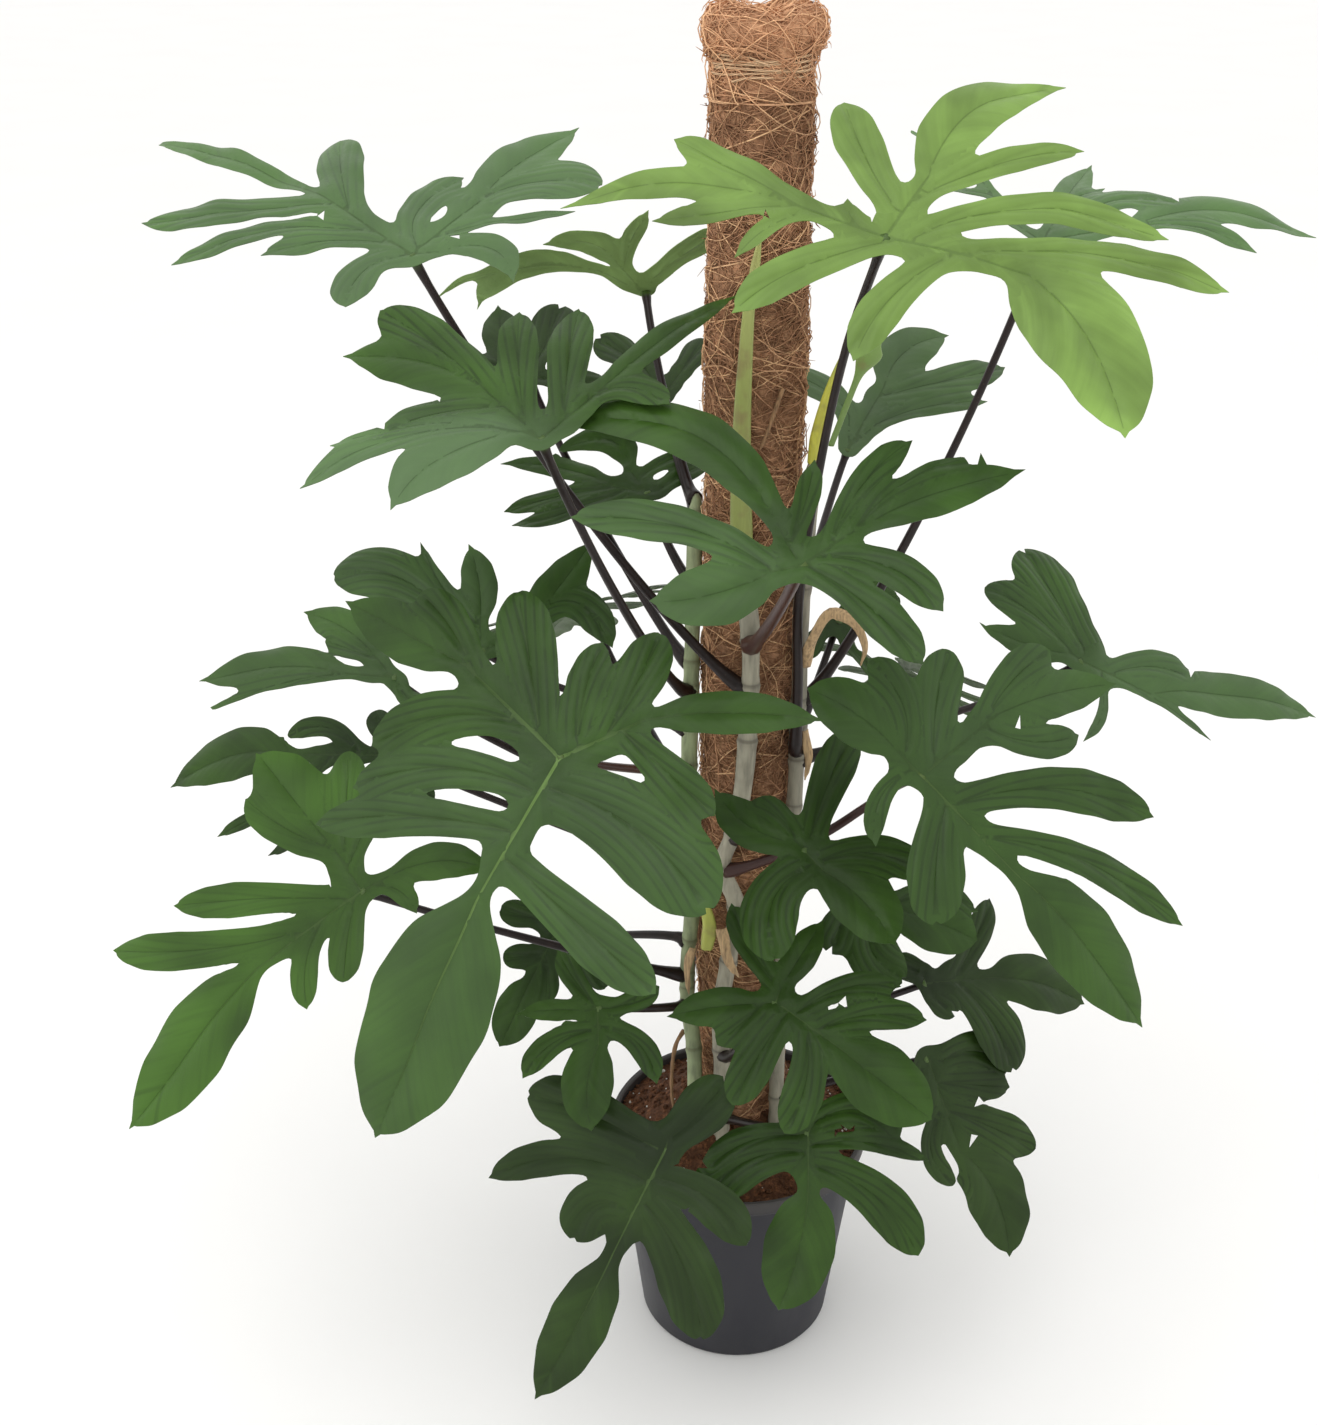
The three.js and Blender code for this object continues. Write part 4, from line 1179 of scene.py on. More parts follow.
def paint(tree, shader, shade, roughness=None):
    tree.links.new(shade, shader.inputs["Base Color"])
    if roughness is not None:
        tree.links.new(roughness, shader.inputs["Roughness"])


def leaf_skin(name, shade, pleat, under=False):
    """A satin leaf blade: deep even green, faintly streaked, with painted shade in the grooves of its veins,
    painted light and shade by its tint, painted sheen, and a paler main rib.
    """
    material, tree, shader = new_material(name, 0.42, 0.22)
    place = add_node(tree, "ShaderNodeUVMap", uv_map="veins").outputs["UV"]
    spacing = settings("leaf_settings").vein_spacing / MM / UV_SCALE
    fine = bands(tree, place, "X", {"Scale": WAVE_PERIOD / spacing, "Distortion": 1.4, "Detail Scale": 1.5})
    drawn = add_node(tree, "ShaderNodeMapping", {"Vector": place, "Scale": (1, 0.12, 1)}).outputs[0]
    noise_inputs = {"Vector": drawn, "Scale": 9, "Detail": 3.0}
    streaks = add_node(tree, "ShaderNodeTexNoise", noise_inputs).outputs["Fac"]
    spot = object_place(tree)
    skin_cells = grain(tree, spot, 2.0, 2)
    deep, pale = 0.75, 1.25
    rough = (0.36, 0.46)
    if under:
        shade = [0.55 * c + 0.45 * g for c, g in zip(times(shade, 1.2), linear(UNDERSIDE))]
        deep, pale = 0.88, 1.12
        rough = (0.5, 0.62)
    body = tones(tree, grain(tree, spot, 60, 3), shade, (0.3, deep), (0.5, 1), (0.72, pale))
    # The tint darkens or lightens the blade: its own and random tone, painted shade near the junction and
    # painted light at the tips
    tint = named_value(tree, "tint")
    body = tinged(tree, body, times(shade, 0.42), tint, 0, 1)
    body = tinged(tree, body, times(shade, 2.1), tint, 0, -1)
    body = tinged(tree, body, times(shade, 1.5), streaks, 0.48, 0.75, 0.45)
    body = tinged(tree, body, times(shade, 0.6), streaks, 0.5, 0.25, 0.45)
    creases = named_value(tree, "pleat")
    # Painted shade in the grooves of the fine veins, as strong as their pleat
    folds = sums(tree, "MULTIPLY", creases, span(tree, grain(tree, spot, 24, 2), 0.3, 0.62, 0.25, 1))
    folds = sums(tree, "MULTIPLY", folds, span(tree, fine, 0.42, 0.0, 0, pleat))
    body = blend_colours(tree, folds, body, times(shade, 0.5 * deep))
    # Painted sheen: the blade turned pale grey-green where it meets the light at a low angle
    body = blend_colours(tree, named_value(tree, "bloom"), body, linear(PAINTED_SHEEN_COLOUR))
    # The middle vein of each lobe: a thin shaded groove. The main rib is paler.
    gap = sums(tree, "DIVIDE", named_value(tree, "vein"), named_value(tree, "vein_half"))
    body = tinged(tree, body, times(shade, 0.5 * deep), gap, 2.0, 0.4, 0.4)
    midrib = sums(tree, "MULTIPLY", span(tree, gap, 1.15, 0.7), named_value(tree, "vein_light"))
    body = blend_colours(tree, midrib, body, linear(MIDRIB))
    paint(tree, shader, body, span(tree, skin_cells, 0.2, 0.8, *rough))
    height = sums(tree, "MULTIPLY_ADD", sums(tree, "MULTIPLY", fine, creases), 0.5,
                  sums(tree, "MULTIPLY", skin_cells, 0.12))
    relief(tree, shader, height, -0.7 if under else 0.7, 0.9)
    return material


def petiole_skin(name, shade):
    """A smooth waxy stalk, near black with a wine tinge, greener just under the blade."""
    material, tree, shader = new_material(name, 0.36, 0.3)
    place = object_place(tree)
    streaks = grain(tree, place, 9, 4)
    body = tones(tree, streaks, shade, (0.3, 0.65), (0.55, 1), (0.8, 1.7))
    body = blend_colours(tree, named_value(tree, "wine"), body, linear(WINE))
    body = tinged(tree, body, linear(FRECKLE), cells(tree, place, 5), 0.16, 0.08, 0.3)
    body = tinged(tree, body, linear(STALK_GREEN), named_value(tree, "along"), 0.965, 0.995, 0.8)
    paint(tree, shader, body)
    relief(tree, shader, streaks, 0.3, 0.5)
    return material


def stem_skin(name, shade, joint, joint_share):
    """Dry skin of a climbing stem: grey-tan, streaked along its length, with darker scars at the joints."""
    material, tree, shader = new_material(name, 0.66)
    streaks = grain(tree, object_place(tree, (1, 1, 0.18)), 5, 5)
    body = tones(tree, streaks, shade, (0.28, 0.6), (0.5, 1), (0.75, 1.25))
    body = tinged(tree, body, times(shade, 0.6), grain(tree, object_place(tree), 34, 3), 0.5, 0.75, 0.5)
    body = blend_colours(tree, sums(tree, "MULTIPLY", named_value(tree, "joint"), joint_share), body, joint)
    paint(tree, shader, body)
    relief(tree, shader, streaks, 0.5, 0.7)
    return material


def shoot_skin(name, shade, tip):
    """A fresh shoot: smooth and faintly ribbed, paler towards its foot."""
    material, tree, shader = new_material(name, 0.42)
    ribs = grain(tree, object_place(tree, (1, 1, 0.06)), 2.4, 3)
    body = ramp(tree, named_value(tree, "along"), [(0.0, times(shade, 0.92)), (0.55, shade), (1.0, tip)])
    body = tinged(tree, body, times(shade, 1.3), ribs, 0.45, 0.75, 0.35)
    body = tinged(tree, body, linear(SHOOT_BLOT), grain(tree, object_place(tree), 26, 3), 0.52, 0.72, 0.6)
    paint(tree, shader, body)
    relief(tree, shader, ribs, 0.3, 0.6)
    return material


def husk_skin(name, shade):
    """A dried leaf sheath: papery, matt and split along its fibres."""
    material, tree, shader = new_material(name, 0.82)
    fibre = grain(tree, object_place(tree, (1, 1, 0.1)), 1.8, 5)
    body = tones(tree, fibre, shade, (0.3, 0.5), (0.52, 1), (0.8, 1.35))
    body = tinged(tree, body, times(shade, 0.5), grain(tree, object_place(tree), 14, 3), 0.5, 0.8, 0.5)
    paint(tree, shader, body)
    relief(tree, shader, fibre, 0.6, 0.8)
    return material


def coir_skin(name, shade, dark, single):
    """Coconut fibre: dry, matt and orange-brown, with painted shade in the gaps between its clumps. Single
    fibres have a shade each.
    """
    material, tree, shader = new_material(name, 0.88, 0.25)
    place = object_place(tree)
    lumps = grain(tree, place, 42, 4, 0.62)
    threads = grain(tree, object_place(tree, (1, 1, 0.5)), 2.6, 5, 0.7)
    # The felted core shows only between the fibres, so its painted shade in the gaps is stronger and its
    # threads darker
    gaps, thread_dark, thread_share, depth = (0.45, 0.62, 0.45, 0.4) if single else (0.75, 0.35, 0.6, 1.6)
    head = span(tree, height_on(tree, place), 1.12, 1.165)
    # Its right side is shaggier, and darker: painted shade on the side away from the light, together with
    # weathering.
    across = add_node(tree, "ShaderNodeSeparateXYZ", {"Vector": place}).outputs["X"]
    shade_and_wear = sums(tree, "MULTIPLY", span(tree, across, -0.01, 0.03), sums(tree, "SUBTRACT", 1.0, head))
    shade_and_wear = sums(tree, "MULTIPLY", shade_and_wear, span(tree, lumps, 0.62, 0.4, 0.12, 0.5))
    body = ramp(tree, lumps, [(0.28, dark), (0.5, times(shade, 0.8)), (0.74, shade)])
    if single:
        stops = [(0.0, times(dark, 0.8)), (0.4, times(shade, 0.62)), (0.75, shade), (1.0, times(shade, 1.9))]
        body = blend_colours(tree, 0.85, body, ramp(tree, named_value(tree, "shade"), stops))
    # Painted shade in the gaps between the clumps
    body = tinged(tree, body, times(dark, 0.7), grain(tree, place, 9, 3, 0.6), 0.52, 0.36, gaps)
    # The right side turned darker: painted shade and weathering
    body = blend_colours(tree, shade_and_wear, body, dark)
    body = tinged(tree, body, times(shade, thread_dark), threads, 0.42, 0.7, thread_share)
    body = blend_colours(tree, sums(tree, "MULTIPLY", head, 0.45), body, times(shade, 1.32))
    paint(tree, shader, body)
    relief(tree, shader, threads, depth)
    return material


def twine_skin(name, shade):
    """Spun coir twine: two plies that wind round each other, hairy and matt."""
    material, tree, shader = new_material(name, 0.85, 0.25)
    place = add_node(tree, "ShaderNodeUVMap", uv_map="wind").outputs["UV"]
    plies = bands(tree, place, "DIAGONAL", {"Scale": PLY_SCALE, "Distortion": 0.6})
    body = tones(tree, plies, shade, (0.1, 0.45), (0.5, 1), (0.9, 1.25))
    body = tinged(tree, body, times(shade, 0.55), grain(tree, object_place(tree), 1.2, 4), 0.5, 0.8, 0.4)
    paint(tree, shader, body)
    relief(tree, shader, plies, 0.4)
    return material


def peat_skin(name, shade):
    """Damp peat and coir crumb: dark, rough and crumbly."""
    material, tree, shader = new_material(name, 0.9, 0.3)
    place = object_place(tree)
    crumbs = cells(tree, place, 7)
    dust = grain(tree, place, 3, 5, 0.7)
    body = tones(tree, dust, shade, (0.3, 0.45), (0.5, 1), (0.72, 2.1))
    paint(tree, shader, tinged(tree, body, times(shade, 0.4), crumbs, 0.2, 0.7, 0.6))
    relief(tree, shader, sums(tree, "ADD", dust, sums(tree, "MULTIPLY", crumbs, -0.7)), 3.0)
    return material


def perlite_skin(name, shade):
    """Expanded perlite: chalky white grains, a little stained."""
    material, tree, shader = new_material(name, 0.85, 0.3)
    stain = grain(tree, object_place(tree), 4, 3)
    paint(tree, shader, tones(tree, stain, shade, (0.35, 0.55), (0.6, 1)))
    relief(tree, shader, stain, 0.6, 0.8)
    return material


def pot_skin(name, shade):
    """Injection-moulded polypropylene: slate grey, faintly grained, with dull patches and a trace of dust."""
    material, tree, shader = new_material(name, 0.5, 0.3)
    place = object_place(tree)
    patches = grain(tree, object_place(tree, (1, 1, 0.4)), 60, 4)
    body = tones(tree, patches, shade, (0.3, 0.86), (0.55, 1), (0.8, 1.2))
    dust = sums(tree, "MULTIPLY", span(tree, height_on(tree, place), 0.19, 0.212, 0, 0.3), patches)
    body = blend_colours(tree, dust, body, linear(POT_DUST))
    paint(tree, shader, body, span(tree, patches, 0.3, 0.75, 0.42, 0.62))
    relief(tree, shader, grain(tree, place, 1.6, 2), 0.08, 0.6)
    return material


def stake_skin(name, shade):
    """A split wooden stake: pale, straight-grained and rough sawn."""
    material, tree, shader = new_material(name, 0.75)
    years = grain(tree, object_place(tree, (1, 1, 0.05)), 4, 4)
    paint(tree, shader, tones(tree, years, shade, (0.3, 0.55), (0.55, 1), (0.8, 1.2)))
    relief(tree, shader, years, 0.4, 0.8)
    return material


def floor_skin(name, shade):
    """A plain matt studio floor, with the faintest mottle."""
    material, tree, shader = new_material(name, 0.9, 0.1)
    mottle = grain(tree, object_place(tree), 400, 2)
    paint(tree, shader, tones(tree, mottle, shade, (0.3, 0.985), (0.7, 1)))
    return material


# Pot and soil

# The pot, in metres: its rounded heel and edges, how far its floor stands off the ground, and the floor's top
HEEL = 0.004
EDGE = 0.0018
FLOOR_LOW = 0.0015
FLOOR_TOP = 0.003
ROUND_STEPS = 96
DRAINS = 8
DRAIN_RADIUS = 0.006
DRAIN_CIRCLE = 0.066
POT_ANGLE = 35
# The soil lies this far off the pot, and its mound falls from the pole's foot over this distance
SOIL_GAP = 0.0006
MOUND_START = 0.04
MOUND_WIDTH = 0.066
# Lumps in the soil: (height, size, seed)
SOIL_LUMPS = [(0.0035, 0.022, 0), (0.0018, 0.008, 1)]
SOIL_RINGS = 22


def wall_radius(height):
    """The outside radius of the pot's wall at a height."""
    s = settings("pot_settings")
    return s.base_radius + (s.rim_radius - s.lip - s.base_radius) / (s.height - s.lip_height) * height


def make_pot():
    """The pot: a thin turned shell with a turned-out lip, a rounded heel and drain holes in its floor."""
    s = settings("pot_settings")
    rim = s.rim_radius
    lip_low = s.height - s.lip_height
    outer = [
        (0, FLOOR_LOW), (s.base_radius * 0.8, FLOOR_LOW), (s.base_radius * 0.82, 0),
        (s.base_radius - HEEL, 0), (s.base_radius - HEEL * 0.3, HEEL * 0.3), (wall_radius(HEEL), HEEL),
        (wall_radius(lip_low) - 0.0006, lip_low), (rim - 0.001, lip_low + 0.0005),
        (rim, lip_low + EDGE), (rim, s.height - EDGE), (rim - 0.001, s.height),
    ]
    inner = [
        (rim - 0.004, s.height), (rim - 0.0055, s.height - 0.0015),
        (wall_radius(lip_low) - s.wall, lip_low - 0.002),
        (wall_radius(FLOOR_TOP) - s.wall, FLOOR_TOP), (0, FLOOR_TOP),
    ]
    piece = spun("pot_shell", outer + inner, ROUND_STEPS, pot_skin("polypropylene_moulded", s.plastic))
    cut_drains(piece)
    angle = math.radians(POT_ANGLE)
    apply_modifier(piece, "BEVEL", width=0.0006, segments=2, limit_method="ANGLE", angle_limit=angle)
    shade_by_angle(piece, POT_ANGLE)
    place_piece(piece, ["pot"])


def cut_drains(piece):
    """Round drain holes through the pot's floor."""
    drills = []
    for i in range(DRAINS):
        turn = 2 * math.pi * i / DRAINS
        spot = (DRAIN_CIRCLE * math.cos(turn), DRAIN_CIRCLE * math.sin(turn), 0)
        bpy.ops.object.select_all(action="DESELECT")
        bpy.ops.mesh.primitive_cylinder_add(vertices=20, radius=DRAIN_RADIUS, depth=0.02, location=spot)
        drills.append(bpy.context.object)
    for drill in drills:
        drill.select_set(True)
    bpy.context.view_layer.objects.active = drills[0]
    bpy.ops.object.join()
    drill = bpy.context.object
    apply_modifier(piece, "BOOLEAN", operation="DIFFERENCE", object=drill, solver="EXACT")
    bpy.data.objects.remove(drill)


def soil_height(x, y):
    """The height of the soil's surface: a low mound round the pole, lumpy all over."""
    s = settings("soil_settings")
    share = min(1, max(0, (math.hypot(x, y) - MOUND_START) / MOUND_WIDTH))
    surface = s.crown_height + (s.edge_height - s.crown_height) * share - 0.004
    for height, size, seed in SOIL_LUMPS:
        surface += height * noise.noise(Vector((x / size, y / size, seed * 7.3)))
    return surface


def make_soil():
    """The soil: a lumpy mound, with crumbs and white grains pressed into it."""
    s = settings("soil_settings")
    inset = settings("pot_settings").wall + SOIL_GAP
    low = FLOOR_TOP + 0.0005
    edge = wall_radius(s.edge_height) - inset
    profile = [(0, low), (wall_radius(low) - inset, low), (edge, s.edge_height - 0.008)]
    profile += [(edge * (1 - i / SOIL_RINGS), s.edge_height) for i in range(SOIL_RINGS + 1)]
    skin = peat_skin("peat_crumb", s.peat)
    piece = spun("soil_mound", profile, ROUND_STEPS, skin)
    for vertex in piece.data.vertices:
        x, y, z = vertex.co
        if z >= s.edge_height - 1e-4:
            vertex.co.z = soil_height(x, y)
    place_piece(piece, ["soil"])
    scatter("soil_crumbs", 900, (0.0012, 0.0042), edge, skin, 11)
    scatter("soil_perlite", 120, (0.0010, 0.0026), edge, perlite_skin("perlite_expanded", s.perlite), 12)


def scatter(name, count, sizes, edge, skin, seed):
    """Small rough grains that lie in the soil's surface, joined as one piece."""
    bpy.ops.object.select_all(action="DESELECT")
    bpy.ops.mesh.primitive_ico_sphere_add(subdivisions=1, radius=1)
    crumb = bpy.context.object
    corners = np.array([v.co[:] for v in crumb.data.vertices])
    faces = np.array([f.vertices[:] for f in crumb.data.polygons])
    bpy.data.objects.remove(crumb)
    draw = np.random.default_rng(seed)
    points, all_faces = [], []
    for i in range(count):
        turn, r = draw.uniform(0, 2 * math.pi), math.sqrt(draw.uniform(0.12, 0.98)) * edge
        x, y = r * math.cos(turn), r * math.sin(turn)
        size = draw.uniform(*sizes) * draw.uniform(0.6, 1.0)
        shape = corners * (size * draw.uniform(0.6, 1.3, 3)) * draw.uniform(0.75, 1.2, (len(corners), 1))
        spin = Matrix.Rotation(draw.uniform(0, 6.3), 3, Vector(draw.normal(size=3)).normalized())
        points.append(shape @ np.array(spin).T + [x, y, soil_height(x, y) + size * 0.2])
        all_faces.append(faces + i * len(corners))
    piece = new_piece(name, np.concatenate(points), np.concatenate(all_faces).tolist(), [skin], smooth=False)
    place_piece(piece, ["soil"])


# Pole

# The coir wrap's outline above the neck: (radius, height above the neck), in mm. It folds in over the top.
HEAD = [
    (36, -6), (35.5, 0), (36.5, 6), (40, 12), (42.2, 20),
    (41.5, 28), (37.5, 34), (29, 37), (18, 35.5), (0, 30),
]
SLOPE_STEP = 0.002
POLE_SIDES = 72
POLE_STEP = 0.004
FIBRE_SIDES = 3
# Fibres: how long and how thick they are, in metres, and how pale, as the two shares of a beta draw
SHORT = {
    "stations": 8, "size": (0.018, 0.075), "thick": (0.00028, 0.00058),
    "curl": 1.1, "pale": (1.0, 1.2), "lift": 0,
}
LONG = {
    "stations": 18, "size": (0.07, 0.17), "thick": (0.0004, 0.0006),
    "curl": 1.7, "pale": (6, 1.2), "lift": 0.0012,
}
# The share of the fibres that stick out, and how far
STRAY_SHARE = 0.07
STRAY_REACH = (0.003, 0.009)
# Strings round the pole: which way each one turns, its pitch and where it starts
STRINGS = [(1, 0.085, 0.4), (-1, 0.105, 2.1), (1, 0.19, 4.0), (-1, 0.24, 5.2)]
STRING_RADIUS = 0.00055
# Twine, in metres: its turns round the neck, their pitch and radius, and its own radius
TWINE_TURNS = 7
TWINE_PITCH = 0.0019
TWINE_REACH = 0.0372
TWINE_RADIUS = 0.0009
TWINE_SIDES = 8
STEPS_A_TURN = 44


def pole_profile():
    """The wrap's outline as (distance walked, radius, height), in metres."""
    s = settings("pole_settings")
    body = [(s.radius_low, COIR_LOW.z), (s.radius_low, SOIL_HIGH.z)]
    body += [(s.radius_high, 0.7), (s.radius_high, s.neck_height - 0.02)]
    line = np.array(body + [(r * MM, s.neck_height + h * MM) for r, h in HEAD])
    return walked_on(line), line[:, 0], line[:, 1]


def pole_place(walked, turn, out):
    """Points over the wrap's surface: how far up, which way round, and how far out from it."""
    stops, radii, heights = pole_profile()
    r = np.interp(walked, stops, radii)
    z = np.interp(walked, stops, heights)
    ahead, behind = np.minimum(walked + SLOPE_STEP, stops[-1]), walked - SLOPE_STEP
    slope_r = np.interp(ahead, stops, radii) - np.interp(behind, stops, radii)
    slope_z = np.interp(ahead, stops, heights) - np.interp(behind, stops, heights)
    size = np.hypot(slope_r, slope_z) + 1e-9
    # Wide lumps, small ones, and shaggy ones on its right side; then two lobes and a fold in its head
    lumps = 0.0016 * np.sin(3 * turn + 31 * z) * np.sin(57 * z + turn) + 0.0010 * np.sin(7 * turn - 83 * z)
    lumps += 0.0007 * np.sin(13 * turn + 170 * z)
    shaggy = 0.6 + np.clip(np.cos(turn), 0, 1)
    lumps += shaggy * 0.0011 * np.sin(19 * turn + 230 * z + 2) * np.sin(11 * turn - 310 * z)
    head = np.clip((z - settings("pole_settings").neck_height) / 0.012, 0, 1)
    lumps += head * 0.0022 * np.cos(2 * turn - 1.2)
    out = out + lumps * np.clip(r / 0.02, 0, 1)
    r = r + out * slope_z / size
    z = z - out * slope_r / size
    dip = head * 0.006 * np.exp(-((np.sin(turn - 1.9) * r / 0.011) ** 2)) * np.clip(1 - r / 0.04, 0, 1)
    return np.stack([r * np.cos(turn), r * np.sin(turn), z - dip], -1)


def make_pole():
    """The pole: a lumpy core of coir, the tangle of single fibres over it, and the strings that hold it."""
    s = settings("pole_settings")
    whole = pole_profile()[0][-1]
    up = np.arange(0, whole, POLE_STEP)[:, None]
    turn = 2 * math.pi * np.arange(POLE_SIDES)[None] / POLE_SIDES
    grid = pole_place(*np.broadcast_arrays(up, turn, -0.0008)).reshape(-1, 3)
    points = [*grid, (0, 0, COIR_LOW.z), (0, 0, s.neck_height + HEAD[-1][1] * MM - 0.0015)]
    foot, crown, last = len(grid), len(grid) + 1, len(grid) - POLE_SIDES
    faces = net_faces(len(up), POLE_SIDES)
    for j in range(POLE_SIDES):
        k = (j + 1) % POLE_SIDES
        faces += [(foot, k, j), (crown, last + j, last + k)]
    core_skin = coir_skin("coir_felted", s.fibre, s.dark_fibre, False)
    place_piece(new_piece("coir_core", points, faces, [core_skin]), ["coir_wrap"])
    skin = coir_skin("coir_fibre", s.fibre, s.dark_fibre, True)
    top = whole - 0.012
    soil_line = SOIL_HIGH.z - COIR_LOW.z - 0.01
    middle = (soil_line + top) / 2
    fibres("coir_tangle_low", 3000, (soil_line, middle), skin, 21, SHORT)
    fibres("coir_tangle_high", 3400, (middle, top), skin, 22, SHORT)
    fibres("coir_long_strands", 260, (0.3, top), skin, 23, LONG)
    fibres("coir_head_strands", 80, (whole - 0.1, top), skin, 24, LONG)
    strings("coir_strings", skin)


def fibre_lines(draw, count, span_up, kind):
    """The middle lines of the fibres, each a row of points that wanders over the wrap."""
    t = np.linspace(0, 1, kind["stations"])[None]
    size = draw.uniform(*kind["size"], (count, 1))
    lean = draw.normal(0, 0.75, (count, 1))
    curl = draw.normal(0, kind["curl"], (count, 1))
    angle = lean + curl * (t - 0.5) + 0.35 * np.sin(6 * t + draw.uniform(0, 6.3, (count, 1)))
    step = size / (kind["stations"] - 1)
    up = draw.uniform(*span_up, (count, 1)) + np.cumsum(np.sin(angle) * step, axis=1)
    turn = draw.uniform(0, 2 * math.pi, (count, 1)) + np.cumsum(np.cos(angle) * step, axis=1) / 0.038
    lift = draw.gamma(1.6, 0.0006, (count, 1)) * np.sin(math.pi * t)
    lift = lift + draw.uniform(-0.0008, 0.0008, (count, 1))
    stray = draw.uniform(0, 1, (count, 1)) < STRAY_SHARE
    lift = lift + kind["lift"] + np.where(stray, draw.uniform(*STRAY_REACH, (count, 1)) * t**2, 0)
    return pole_place(np.clip(up, *span_up), turn, lift)


def fibres(name, count, span_up, skin, seed, kind):
    """Fine curved fibres that lie over the wrap at all angles, with a few that stick out."""
    draw = np.random.default_rng(seed)
    centres = fibre_lines(draw, count, span_up, kind)
    along = np.gradient(centres, axis=1)
    along /= np.linalg.norm(along, axis=2, keepdims=True) + 1e-12
    outward = centres * [1, 1, 0]
    outward /= np.linalg.norm(outward, axis=2, keepdims=True) + 1e-12
    side = np.cross(along, outward + [0, 0, 0.01])
    side /= np.linalg.norm(side, axis=2, keepdims=True)
    normal = np.cross(side, along)
    stations = kind["stations"]
    taper = np.clip(4 * np.sin(math.pi * np.linspace(0, 1, stations)), 0.35, 1)[None, :, None]
    thick = draw.uniform(*kind["thick"], (count, 1, 1)) * taper
    ring = [2 * math.pi * k / FIBRE_SIDES for k in range(FIBRE_SIDES)]
    points = np.stack([centres + thick * (normal * math.cos(a) + side * math.sin(a)) for a in ring], 2)
    last = (stations - 1) * FIBRE_SIDES
    starts = (np.arange(count) * stations * FIBRE_SIDES)[:, None, None]
    faces = (np.array(net_faces(stations, FIBRE_SIDES))[None] + starts).reshape(-1, 4).tolist()
    faces += (np.array([[2, 1, 0], [last, last + 1, last + 2]])[None] + starts).reshape(-1, 3).tolist()
    piece = new_piece(name, points.reshape(-1, 3), faces, [skin])
    set_values(piece, "shade", np.repeat(draw.beta(*kind["pale"], count), stations * FIBRE_SIDES))
    place_piece(piece, ["coir_wrap"])


def strings(name, skin):
    """Thin strings that hold the wrap, wound both ways up the pole."""
    points, faces = [], []
    whole = pole_profile()[0][-1]
    for k, (way, pitch, start) in enumerate(STRINGS):
        up = np.arange(0.18, whole - 0.085, 0.006)
        turn = way * 2 * math.pi * up / pitch + start + 0.16 * np.sin(up * 90 + k)
        line = [Vector(p) for p in pole_place(up, turn, np.full(len(up), 0.0012))]
        part, part_faces = bar_mesh(line, lambda t: STRING_RADIUS, 4)
        faces += [tuple(i + len(points) for i in f) for f in part_faces]
        points += part
    piece = new_piece(name, points, faces, [skin])
    set_values(piece, "shade", np.full(len(points), 0.95))
    place_piece(piece, ["coir_wrap"])


def make_twine():
    """The twine that ties the wrap's neck: loose turns that cross here and there, and two cut ends."""
    s = settings("pole_settings")
    steps = STEPS_A_TURN * TWINE_TURNS
    line = []
    for i in range(steps + 1):
        t = i / steps
        angle = 2 * math.pi * TWINE_TURNS * t - 1.9
        reach = TWINE_REACH + 0.0004 * math.sin(7 * angle) + 0.0006 * math.sin(2.3 * angle)
        z = s.neck_height - TWINE_TURNS * TWINE_PITCH * (0.5 - t)
        z += 0.0011 * math.sin(1.37 * angle) + 0.0006 * math.sin(3.1 * angle)
        line.append(Vector((reach * math.cos(angle), reach * math.sin(angle), z)))
    start = line[0] + (line[0] - line[1]).normalized() * 0.012 - UP * 0.003
    end = line[-1] + (line[-1] - line[-2]).normalized() * 0.016 - UP * 0.006
    points, faces = bar_mesh(evenly([start, *line, end], steps + 12), lambda t: TWINE_RADIUS, TWINE_SIDES)
    piece = new_piece("neck_twine", points, faces, [twine_skin("coir_twine_spun", s.twine)])
    wind_uv(piece, TWINE_SIDES, 1.2, 7.5)
    place_piece(piece, ["pole_twine"])


def wind_uv(piece, sides, step, round_length):
    """A UV map in mm that runs along a bar by a step for each ring, and round it."""
    layer = piece.data.uv_layers.new(name="wind")
    for face in piece.data.polygons:
        ring = [v % sides for v in face.vertices]
        wrap = max(ring) - min(ring) > sides / 2
        for loop, v in zip(face.loop_indices, face.vertices):
            around = v % sides
            if wrap and around < sides / 2:
                around += sides
            layer.data[loop].uv = (v // sides * step, around / sides * round_length)


# Stems

# Shoots, dry sheaths and roots: the line each one follows, from its foot, and its widest radius, in mm.
# A flat one is thin across the way it faces.
SHOOTS = {
    "shoot_front": {
        "radius": 9.5, "thin": 0.62, "face": (0, -1, 0), "shade": "87904a", "tip": "a3a860",
        "route": [
            (-7, -46, 772), (-10, -48.5, 810), (-11.5, -49.5, 850), (-12, -50, 904), (-10.5, -49.5, 957),
            (-8, -48, 1002), (-4, -47, 1030), (0, -46.5, 1058),
        ],
    },
    "shoot_right": {
        "radius": 7.5, "thin": 0.7, "face": (0.3, -1, 0), "shade": "c0bd45", "tip": "7d9440",
        "route": [(45, -31, 872), (48, -38, 900), (52, -47, 926), (57, -58, 950), (65, -73, 980)],
    },
    "shoot_left": {
        "radius": 7, "thin": 0.8, "face": (0, -1, 0), "shade": "a9ae4e", "tip": "8a7f45",
        "route": [(-33, -47, 436), (-31, -48, 460), (-36, -48, 482), (-44, -47, 500), (-50, -44, 514)],
    },
}
ROLLED_LEAF = [(56, -45, 890), (60, -50, 905), (66, -58, 928), (74, -68, 956), (86, -84, 984)]
